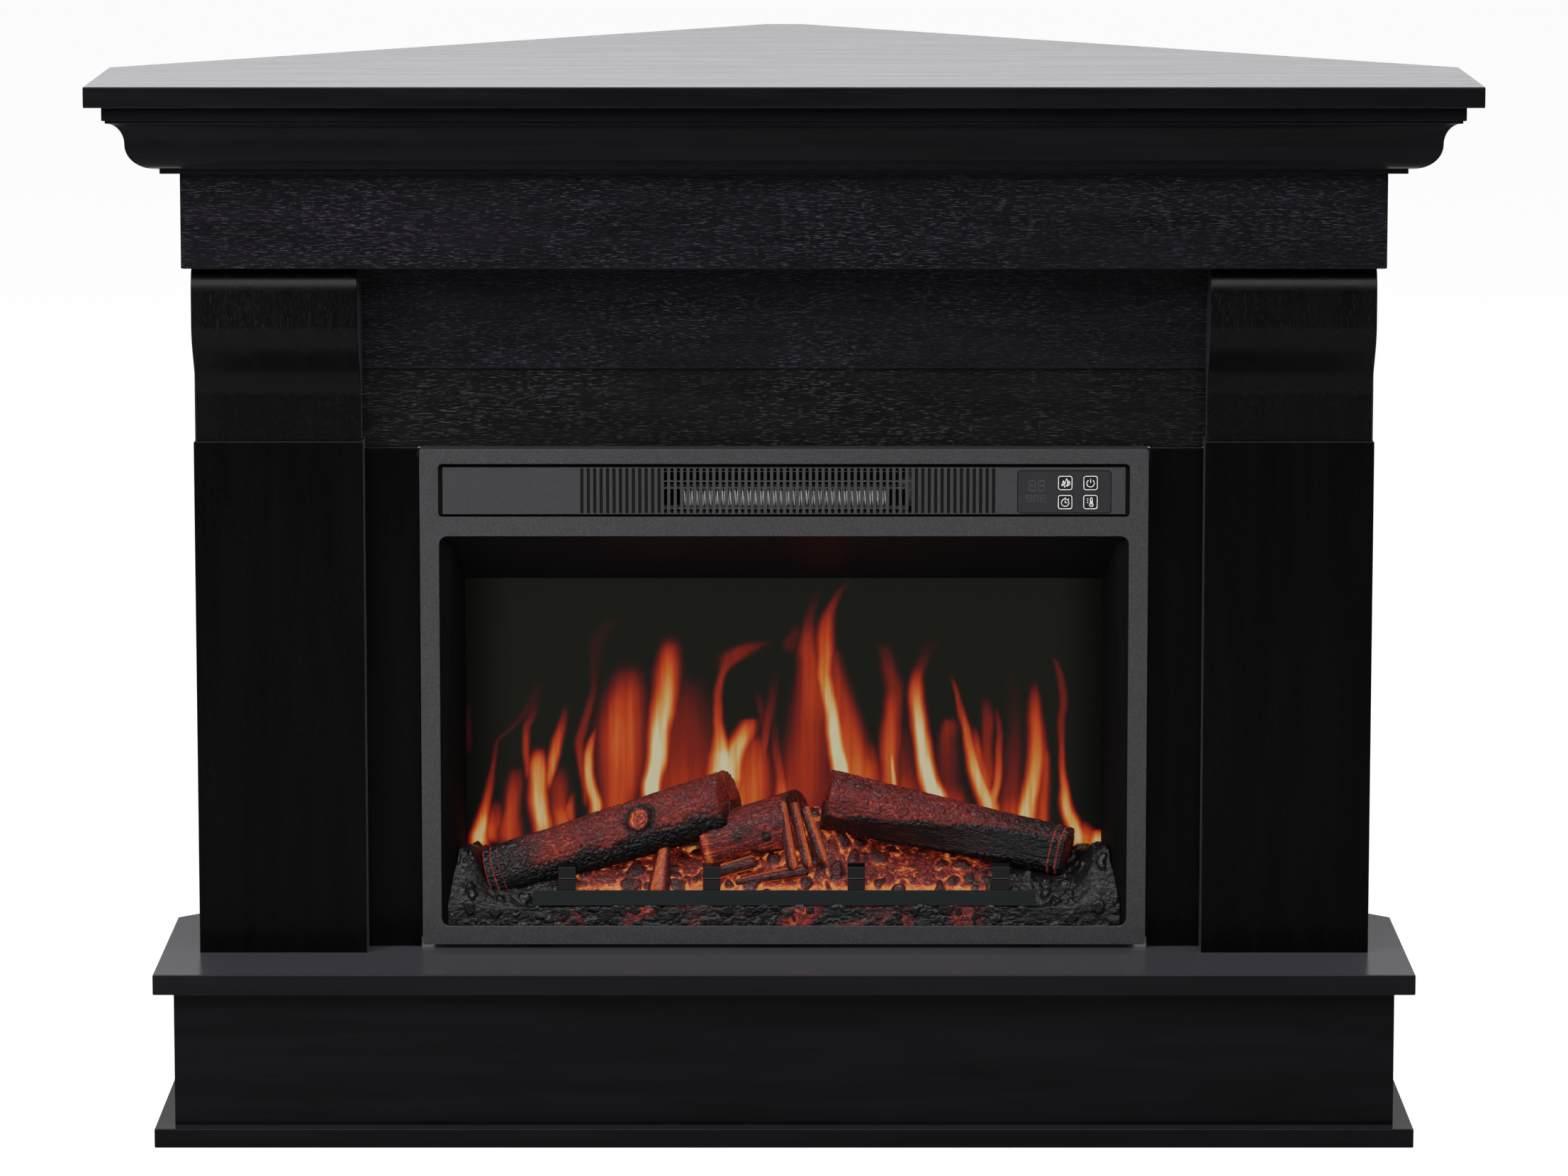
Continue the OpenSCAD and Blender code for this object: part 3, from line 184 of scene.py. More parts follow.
def drive(shader, socket, signal):
    """Links a signal to a socket of a shader."""
    shader.id_data.links.new(signal.socket, shader.inputs[socket])


def fleck(place, scale, detail=2.0):
    """A noise value whose grains are 1/scale metres along each axis."""
    grid = place.node("ShaderNodeMapping", {}, {"Vector": place, "Scale": scale})
    values = {"Vector": grid, "Scale": 1.0, "Detail": detail}
    return place.node("ShaderNodeTexNoise", {}, values)


def relief(shader, height, strength, depth):
    """Bumps a shader's surface by a height signal."""
    values = {"Height": height, "Strength": strength, "Distance": depth}
    drive(shader, "Normal", height.node("ShaderNodeBump", {}, values))


floor_half = 30.0
floor_grey = 0.46
floor_glow = 0.85
floor_mesh = bmesh.new()
bmesh.ops.create_grid(floor_mesh, x_segments=1, y_segments=1, size=floor_half)
floor_data = bpy.data.meshes.new("floor")
floor_mesh.to_mesh(floor_data)
floor_mesh.free()
floor = bpy.data.objects.new("floor", floor_data)
bpy.context.scene.collection.objects.link(floor)
floor_finish, floor_shader, floor_place = material("pale_floor", Roughness=0.9)
floor_shader.inputs["Base Color"].default_value = shade(floor_grey, floor_grey, floor_grey)
floor_shader.inputs["Specular IOR Level"].default_value = 0.0
floor_shader.inputs["Emission Color"].default_value = shade(1, 1, 1)
floor_ray = floor_finish.node_tree.nodes.new("ShaderNodeLightPath")
floor_seen = Signal(floor_ray.outputs["Is Camera Ray"])
floor_mirrored = Signal(floor_ray.outputs["Is Glossy Ray"])
floor_through = Signal(floor_ray.outputs["Is Transmission Ray"])
glow_begins, glow_full = 0.4, 1.2
floor_behind = floor_place.part(1).between(glow_begins, glow_full)
drive(floor_shader, "Emission Strength",
    floor_seen.maths("MAXIMUM", (floor_mirrored + floor_through) * floor_behind) * floor_glow)
floor_data.materials.append(floor_finish)


def lamp(name, place, aim, wide, high, power):
    """A soft light at a place, turned to face aim."""
    light = bpy.data.lights.new(name, "AREA")
    light.shape = "RECTANGLE"
    light.size, light.size_y = wide, high
    light.energy = power
    made = bpy.data.objects.new(name, light)
    made.location = place
    made.rotation_mode = "QUATERNION"
    made.rotation_quaternion = (Vector(place) - Vector(aim)).to_track_quat("Z", "Y")
    bpy.context.scene.collection.objects.link(made)


lamp("overhead", (0, -2.1, 4.4), (0, -0.1, 0.6), 2.6, 2.6, 95)
lamp("front_softbox", (0, -4.6, 3.5), (0, -0.3, 0.6), 3.0, 2.4, 130)
lamp("left_softbox", (-1.5, -1.8, 1.5), (-0.2, -0.28, 0.45), 0.8, 0.8, 26)
lamp("right_fill", (3.6, -4.4, 3.2), (0, -0.2, 0.5), 1.8, 1.8, 30)
card_wide, card_high, card_white = 7.0, 2.4, 0.86
lamp("white_card", (0, 3.6, 2.35), (0, 0, 2.35), card_wide, card_high,
    math.pi * card_wide * card_high * card_white)

# ---- Mantel boards ----
# Fibreboard with a dark-stained open-pore veneer on every side, its arrises eased with
# sandpaper. Boards lie with their grain along their length; columns stand upright.


def piece(name, mesh, finish, body="root", replaced=()):
    """A finished piece: its mesh, its material, its body and what it replaces."""
    data = bpy.data.meshes.new(name)
    mesh.to_mesh(data)
    mesh.free()
    data.materials.append(finish)
    made = bpy.data.objects.new(name, data)
    bpy.context.scene.collection.objects.link(made)
    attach(made, body)
    if replaced:
        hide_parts(*replaced)
    return made


def even_shading(made):
    """Shades a piece smoothly, with creases at sharp edges and flats kept flat."""
    made.data.shade_smooth()
    made.data.set_sharp_from_angle(angle=math.radians(40))
    modifier = made.modifiers.new("flats", "WEIGHTED_NORMAL")
    modifier.keep_sharp = True
    return made


def merged(node):
    """A mesh of a CAD node with its loose triangles joined into flat faces."""
    mesh = bmesh.new()
    mesh.from_mesh(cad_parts[node].data)
    bmesh.ops.remove_doubles(mesh, verts=mesh.verts, dist=0.002 * mm)
    bmesh.ops.dissolve_limit(mesh, angle_limit=math.radians(0.5), use_dissolve_boundaries=False,
        verts=mesh.verts, edges=mesh.edges, delimit=set())
    return mesh


def ease(mesh, radius, segments=2, shortest=0.0):
    """Rounds the edges whose faces turn by 30 to 100 degrees. Edges shorter than shortest,
    such as the rims of screw holes, stay sharp."""
    low, high = math.radians(30), math.radians(100)
    edges = [e for e in mesh.edges if len(e.link_faces) == 2
        and low < e.calc_face_angle() < high and e.calc_length() > shortest]
    bmesh.ops.bevel(mesh, geom=edges, offset=radius, offset_type="OFFSET", affect="EDGES",
        segments=segments, profile=0.5, material=-1, clamp_overlap=True)


def eased(node, radius, finish, name, segments=2, shortest=0.0):
    """A copy of a CAD node with eased edges, which stands for it."""
    mesh = merged(node)
    ease(mesh, radius, segments, shortest=shortest)
    return even_shading(piece(name, mesh, finish, replaced=(node,)))


def tone(colour, share):
    """A colour made deeper or paler."""
    return shade(*(min(1, part * share) for part in colour))


def veneer(name, grain, ground, flecks, gloss=0.24, shine=0.13, sheen=0.10):
    """Dark-stained veneer whose grain follows axis 0, 1 or 2; flecks is how much its
    open pores show, their grey partly grain and partly painted highlight."""
    finish, shader, place = material(name, Specular_IOR_Level=shine, Sheen_Weight=sheen,
        Sheen_Roughness=0.45, Sheen_Tint=shade(0.86, 0.84, 1.0))

    def figure(along_grain, across, detail=2.0):
        scale = [across] * 3
        scale[grain] = along_grain
        return fleck(place, tuple(scale), detail)

    streak = figure(along_grain=5, across=60, detail=3.0)
    thread = figure(along_grain=26, across=1500)
    pore = figure(along_grain=150, across=1700, detail=1.0).between(0.57, 0.72)
    cluster = fleck(place, (9, 9, 14)).between(0.30, 0.70)
    # open pores lighter: their grey is partly the grain, partly a painted highlight
    lit = pore * (cluster * 0.55 + 0.25) * flecks
    pore_grey_and_highlight = shade(0.060, 0.054, 0.068)
    board = (streak * 0.6 + thread * 0.4).between(0.35, 0.65).mix(tone(ground, 0.7),
        tone(ground, 1.5))
    drive(shader, "Base Color", lit.mix(board, pore_grey_and_highlight))
    drive(shader, "Roughness", streak * 0.12 + thread * 0.10 + (gloss - 0.11))
    relief(shader, thread * 0.5 + pore * flecks, 0.2, 0.2 * mm)
    return finish


board_arris, header_arris = 1.1 * mm, 2.6 * mm
stain, post_stain = (0.0032, 0.0027, 0.0045), (0.0012, 0.0012, 0.0013)
smooth_stain = (0.0030, 0.0028, 0.0035)
top_veneer = veneer("veneer_top", 0, smooth_stain, 0.0, gloss=0.20, sheen=0.15)
hearth_veneer = veneer("veneer_hearth", 0, smooth_stain, 0.0, gloss=0.22, sheen=0.15)
lengthwise = veneer("veneer_lengthwise", 0, smooth_stain, 0.0, shine=0.09, sheen=0.05)
crosswise = veneer("veneer_crosswise", 1, smooth_stain, 0.0, shine=0.09, sheen=0.05)
open_pored = veneer("veneer_open_pored", 0, stain, 1.0, gloss=0.28)
lintel_pored = veneer("veneer_lintel", 0, (0.0031, 0.0030, 0.0029), 1.0, gloss=0.28,
    sheen=0.05)
bracket_gloss = veneer("veneer_bracket", 2, post_stain, 0.2, gloss=0.26, shine=0.12, sheen=0.03)
open_pored_side = veneer("veneer_open_pored_side", 1, stain, 1.0, gloss=0.28)
upright = veneer("veneer_upright", 2, post_stain, 0.05, shine=0.045, sheen=0.05)
veneered = {
    top_veneer: "top_board",
    lengthwise: "sub_top cornice_front frieze_soffit plinth_front base_board",
    crosswise: "cornice_left_return cornice_right_return upper_left_rail upper_right_rail "
        "plinth_left_return plinth_right_return plinth_left_rail plinth_right_rail",
    open_pored: "frieze_front upper_header",
    open_pored_side: "frieze_left_return frieze_right_return",
    lintel_pored: "lintel",
    bracket_gloss: "left_bracket right_bracket",
    upright: "left_column right_column left_stile right_stile left_side_panel "
        "right_side_panel rear_post",
    hearth_veneer: "hearth_board",
}
arrises = {"upper_header": header_arris}
screw_rims = dict.fromkeys(("base_board", "plinth_front"), 3 * mm)
for finish, boards in veneered.items():
    for board in boards.split():
        eased(board, arrises.get(board, board_arris), finish,
            board + "_veneered", shortest=screw_rims.get(board, 0.0))


def dress(finish, *nodes):
    """Gives CAD nodes' objects a finish, with their meshes as they are."""
    for node in nodes:
        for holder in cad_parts[node].material_slots:
            holder.link = "OBJECT"
            holder.material = finish


# ---- Bezel ----
# One sheet-steel frame with a returned edge, powder-coated in a fine dark grey texture.
def powder(name, base, rough, grain=2600, strength=0.25, metallic=0.0, shade_behind=None,
        shine=0.35):
    """A fine-grained coat over steel or a moulded grain in plastic. Deeper than a face at the
    given depth, the coat is painted near black as shade in the recesses, and made dull."""
    finish, shader, place = material(name, Metallic=metallic, Specular_IOR_Level=shine)
    speck = fleck(place, (grain, grain, grain), 1.0)
    cloud = fleck(place, (7, 7, 7))
    coat = speck.between(0.38, 0.66).mix(tone(base, 0.7), tone(base, 1.5))
    dull = speck * 0.2 + cloud * 0.1 + (rough - 0.15)
    if shade_behind is not None:
        # painted shade: recess floors behind the face are coloured near black
        recess_shade = place.part(1).between(shade_behind + 0.3 * mm, shade_behind + 0.8 * mm)
        recess_shade_black, recess_dull = shade(0.001, 0.001, 0.001), 0.6
        coat = recess_shade.mix(coat, recess_shade_black)
        dull = dull + recess_shade * recess_dull
    drive(shader, "Base Color", coat)
    drive(shader, "Roughness", dull)
    relief(shader, speck, strength, 0.15 * mm)
    return finish


bezel_coat = powder("bezel_powder_coat", (0.034, 0.034, 0.036), 0.40, grain=1500)
eased("bezel", 0.6 * mm, bezel_coat, "bezel_frame", segments=3)

# ---- Side seals ----
# Two strips of soft black foam on the sides of the insert's housing, which keep light
# from coming through between the bezel and the stiles; their near black stands as
# painted shade in these gaps.
foam, foam_shader, foam_place = material("black_foam_gap_shade", Roughness=0.9)
foam_cells = fleck(foam_place, (1400, 1400, 1400))
drive(foam_shader, "Base Color", foam_cells.mix(shade(0.002, 0.002, 0.002),
    shade(0.007, 0.007, 0.007)))
relief(foam_shader, foam_cells, 0.4, 0.3 * mm)
seal_deep, seal_short = 9 * mm, 4 * mm
bezel_low, bezel_high = (Vector(corner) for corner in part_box("bezel"))
shell_high, stile_low = Vector(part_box("firebox_shell")[1]), Vector(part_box("right_stile")[0])
# near-black blocks in the gaps beside the bezel: painted shade for these gaps
seals = bmesh.new()
for side in (-1, 1):
    made = bmesh.ops.create_cube(seals, size=1.0)["verts"]
    middle = side * (shell_high.x + stile_low.x) / 2
    bmesh.ops.scale(seals, verts=made, vec=(stile_low.x - shell_high.x, seal_deep,
        bezel_high.z - bezel_low.z - seal_short))
    bmesh.ops.translate(seals, verts=made, vec=(middle, bezel_high.y + seal_deep / 2,
        (bezel_low.z + bezel_high.z) / 2))
ease(seals, 1.2 * mm, 3)
even_shading(piece("side_seals_gap_shade", seals, foam))

# ---- Control fascia ----
# A moulded panel in the bezel's own finish, with a row of slots: the middle ones are
# open in front of the heater and the outer ones are blind.
# The floors of the slots, behind the panel's face, get painted shade.
fascia_grain_and_slot_shade = powder("fascia_grain_and_slot_shade", (0.034, 0.034, 0.037), 0.36, grain=2200, strength=0.15,
    shade_behind=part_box("control_fascia")[0][1])
fascia_panel = merged("control_fascia")
fascia_low, fascia_high = (corner[2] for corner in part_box("control_fascia"))
slot_field, slot_growth = 214 * mm, 1.4 * mm
slots_from, slots_to = 4 * mm, 16 * mm
for vert in fascia_panel.verts:
    past = min(vert.co.z - fascia_low, fascia_high - vert.co.z)
    if slots_from < past < slots_to and abs(vert.co.x) < slot_field:
        vert.co.z += slot_growth if vert.co.z > (fascia_low + fascia_high) / 2 else -slot_growth
ease(fascia_panel, 0.6 * mm, 2)
even_shading(piece("fascia_panel", fascia_panel, fascia_grain_and_slot_shade,
    replaced=("control_fascia",)))

# ---- Control window and display ----
# A dark glossy plate over the circuit board, with a thin black ring round its edge that is
# painted shade for the gap there; its two digits and the row of small marks below them show
# faintly when they aren't lit.
window_gloss = powder("window_gloss", (0.020, 0.020, 0.022), 0.2, grain=5000, strength=0.02)
eased("control_window", 0.3 * mm, window_gloss, "control_window_panel")
window_low, window_high = (Vector(corner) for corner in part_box("control_window"))
window_face = window_low.y


def drawn(name, strokes, half_width, face, finish, body="root"):
    """Raised lines of one width on a face that looks forward. A stroke is a list of
    places across and up, and one that ends where it starts is closed."""
    lines = bpy.data.curves.new(name + "_lines", "CURVE")
    lines.dimensions = "3D"
    lines.bevel_depth = half_width
    lines.bevel_resolution = 1
    lines.use_fill_caps = True
    for stroke in strokes:
        closed = stroke[0] == stroke[-1]
        places = stroke[:-1] if closed else stroke
        spline = lines.splines.new("POLY")
        spline.points.add(len(places) - 1)
        spline.use_cyclic_u = closed
        for point, (across, up) in zip(spline.points, places):
            point.co = (across, 0, up, 1)
    pattern = bpy.data.objects.new(name + "_pattern", lines)
    bpy.context.scene.collection.objects.link(pattern)
    bpy.context.view_layer.update()
    mesh = bmesh.new()
    mesh.from_mesh(pattern.to_mesh())
    bpy.data.objects.remove(pattern)
    flatness = 0.35
    bmesh.ops.scale(mesh, vec=(1, flatness, 1), verts=mesh.verts)
    bmesh.ops.translate(mesh, vec=(0, face, 0), verts=mesh.verts)
    made = piece(name, mesh, finish, body)
    made.data.shade_smooth()
    return made


def arc(centre, radius, start, end, steps=14):
    """Places along an arc, with its angles in degrees from the right, upwards."""
    turn = [math.radians(start + (end - start) * step / steps) for step in range(steps + 1)]
    return [(centre[0] + radius * math.cos(t), centre[1] + radius * math.sin(t)) for t in turn]


def rounded(middle, half_wide, half_high, corner):
    """A closed frame with rounded corners about a middle."""
    ring = []
    for across, up, start in ((1, 1, 0), (-1, 1, 90), (-1, -1, 180), (1, -1, 270)):
        spot = (middle[0] + across * (half_wide - corner), middle[1] + up * (half_high - corner))
        ring += arc(spot, corner, start, start + 90, 5)
    return ring + ring[:1]


window_corner, gap_shade_r = 3.2 * mm, 0.45 * mm
window_middle, window_half = (window_low + window_high) / 2, (window_high - window_low) / 2
# a raised black ring round the window: painted shade for the gap at its edge
gap_shade_black = powder("gap_shade_black", (0.0015, 0.0015, 0.0015), 0.6, strength=0.02, shine=0.1)
drawn("window_gap_shade", [rounded((window_middle.x, window_middle.z), window_half.x,
    window_half.z, window_corner)], gap_shade_r, window_face, gap_shade_black)
digit_w, digit_h, digit_gap = 5.8 * mm, 9.2 * mm, 0.5 * mm
digit_places, digit_base = (228.6 * mm, 237.4 * mm), 598.6 * mm
segment_half, mark_half = 0.45 * mm, 0.4 * mm
segments = []
for left in digit_places:
    right, middle, top = left + digit_w, digit_base + digit_h / 2, digit_base + digit_h
    for up in (digit_base, middle, top):
        segments.append([(left + digit_gap, up), (right - digit_gap, up)])
    for across in (left, right):
        for low, high in ((digit_base, middle), (middle, top)):
            segments.append([(across, low + digit_gap), (across, high - digit_gap)])
segment_grey = powder("unlit_segments", (0.052, 0.052, 0.056), 0.4, strength=0.02)
drawn("display_digits", segments, segment_half, window_face, segment_grey)
mark_w, mark_h, mark_base, mark_pitch = 4.6 * mm, 5.4 * mm, 588.6 * mm, 6.6 * mm
mark_start, dash_inset = digit_places[0] - 2.2 * mm, 1.4 * mm
marks = []
for number in range(3):
    left = mark_start + number * mark_pitch
    right, middle, top = left + mark_w, mark_base + mark_h / 2, mark_base + mark_h
    marks.append([(left, mark_base), (right, mark_base), (right, top), (left, top),
        (left, mark_base)])
    marks.append([(left + dash_inset, middle), (right - dash_inset, middle)])
drawn("display_marks", marks, mark_half, window_face, segment_grey)

# ---- Buttons ----
# Four moulded keys in the control window, each with a white rounded frame and a plain
# picture printed on it: a flame, a power mark, a clock and a thermometer. The pictures'
# places are in millimetres from the key's middle.
key_plastic = powder("key_plastic", (0.006, 0.006, 0.007), 0.3, grain=4200, strength=0.03)
print_white = powder("print_white", (0.80, 0.80, 0.80), 0.5, strength=0.02)
print_line = 0.45 * mm
frame_half, frame_corner = 6.3, 1.9


def tongue_line(foot, tip, belly):
    """A closed leaning tongue of a flame, round at its foot and pointed at its tip."""
    steps = 8
    sides = []
    for side in (1, -1):
        line = []
        for step in range(steps + 1):
            share = step / steps
            aside = side * belly * 2.6 * math.sqrt(share) * (1 - share)
            bow = 0.9 * math.sin(math.pi * share)
            line.append((foot[0] + (tip[0] - foot[0]) * share + aside + bow,
                foot[1] + (tip[1] - foot[1]) * share))
        sides.append(line)
    return sides[0] + sides[1][-2::-1]


flame_mark = [tongue_line((-3.2, -2.6), (-1.9, 2.2), 0.8),
    tongue_line((-0.7, -3.9), (1.2, 4.2), 1.3), tongue_line((2.2, -2.8), (3.3, 2.0), 0.8)]
power_mark = [arc((0, -0.3), 3.5, 125, 415, 20), [(0, 4.0), (0, 0.2)]]
clock_ring = arc((0, -0.5), 3.5, 0, 360, 24)
timer_mark = [clock_ring[:-1] + clock_ring[:1], [(0, 3.0), (0, 4.4)],
    [(0, 1.6), (0, -0.5), (2.0, -0.5)], [(2.9, 3.3), (3.7, 2.5)]]
bulb = arc((0.8, -2.5), 1.7, 120, 420, 16)
stem = arc((0.8, 3.2), 0.85, 0, 180, 6)
temperature_mark = [bulb + stem + bulb[:1], [(0.8, -2.5), (0.8, 1.2)]] + [
    [(-3.4, up), (-2.0, up)] for up in (3.2, 1.4, -0.4)]
key_marks = {"flame": flame_mark, "power": power_mark, "timer": timer_mark,
    "temperature": temperature_mark}
for name, picture in key_marks.items():
    node = name + "_button"
    dress(key_plastic, node)
    key_low, key_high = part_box(node)
    middle = ((key_low[0] + key_high[0]) / 2, (key_low[2] + key_high[2]) / 2)
    strokes = [[(across * mm + middle[0], up * mm + middle[1]) for across, up in stroke]
        for stroke in [rounded((0, 0), frame_half, frame_half, frame_corner)] + picture]
    drawn(name + "_key_print", strokes, print_line, key_low[1], print_white, node)

# ---- Heater ----
# A coil of bare resistance wire strung through holes in a frame of mica board. Two thin
# steel wires guard it, just behind the open slots.


def outward(mesh):
    """Turns the faces of a closed mesh outwards."""
    bmesh.ops.recalc_face_normals(mesh, faces=mesh.faces)
    if mesh.calc_volume(signed=True) < 0:
        bmesh.ops.reverse_faces(mesh, faces=mesh.faces)


wire_r, coil_r = 0.55 * mm, 8.4 * mm
coil_turns, steps_a_turn = 80, 14
coil_low, coil_high = (Vector(corner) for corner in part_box("heater_coil"))
coil_middle = (coil_low + coil_high) / 2
coil_length = coil_high.x - coil_low.x - 2 * wire_r
wire_finish, wire_shader, wire_place = material("bright_wire", Metallic=0.0)
tarnish = fleck(wire_place, (300, 300, 300))
drive(wire_shader, "Base Color", tarnish.mix(shade(0.97, 0.95, 0.92), shade(0.80, 0.78, 0.75)))
drive(wire_shader, "Roughness", tarnish * 0.2 + 0.3)
coil = bmesh.new()
bmesh.ops.create_circle(coil, segments=6, radius=wire_r, cap_ends=True)
bmesh.ops.rotate(coil, cent=(0, 0, 0), matrix=Matrix.Rotation(math.pi / 2, 3, "X"),
    verts=coil.verts)
coil_start = (coil_low.x + wire_r, coil_middle.y, coil_middle.z + coil_r)
bmesh.ops.translate(coil, vec=coil_start, verts=coil.verts)
coil_steps = coil_turns * steps_a_turn
bmesh.ops.spin(coil, geom=coil.verts[:] + coil.edges[:] + coil.faces[:], cent=coil_middle,
    axis=(1, 0, 0), dvec=(coil_length / coil_steps, 0, 0),
    angle=2 * math.pi * coil_turns, steps=coil_steps, use_merge=False)
outward(coil)
coil_piece = piece("wound_coil", coil, wire_finish, replaced=("heater_coil",))
coil_piece.data.shade_smooth()


def cross_rod(mesh, middle, length, radius, sides):
    """Adds a round rod that lies across, to a mesh."""
    made = bmesh.ops.create_cone(mesh, cap_ends=True, segments=sides, radius1=radius,
        radius2=radius, depth=length)["verts"]
    bmesh.ops.rotate(mesh, cent=(0, 0, 0), matrix=Matrix.Rotation(math.pi / 2, 3, "Y"),
        verts=made)
    bmesh.ops.translate(mesh, verts=made, vec=middle)


guard_r, guard_gap, guard_overhang = 0.45 * mm, 0.6 * mm, 23 * mm
guard_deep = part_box("control_fascia")[1][1] + guard_gap + guard_r
guards = bmesh.new()
for height in (615.6 * mm, 606.5 * mm):
    cross_rod(guards, (coil_middle.x, guard_deep, height),
        coil_high.x - coil_low.x + 2 * guard_overhang, guard_r, 10)
guard_steel = powder("guard_steel", (0.20, 0.20, 0.21), 0.4, strength=0.05, metallic=1.0)
even_shading(piece("grille_guard_wires", guards, guard_steel))
mica = powder("mica_board", (0.13, 0.12, 0.10), 0.45, grain=900)
eased("heater_frame", 0.15 * mm, mica, "mica_frame", segments=1)

# ---- Valance and cheeks ----
# Folded sheet steel, satin black, that leads from the window back to the screen.
liner_black = powder("liner_black", (0.0026, 0.0026, 0.0040), 0.5, grain=1800, strength=0.1)
cheek_black = powder("cheek_black", (0.0030, 0.0030, 0.0034), 0.8, grain=1800, strength=0.1,
    shine=0.08)
for node, finish in (("valance", liner_black), ("left_cheek", cheek_black),
        ("right_cheek", cheek_black)):
    eased(node, 0.5 * mm, finish, node + "_folded")

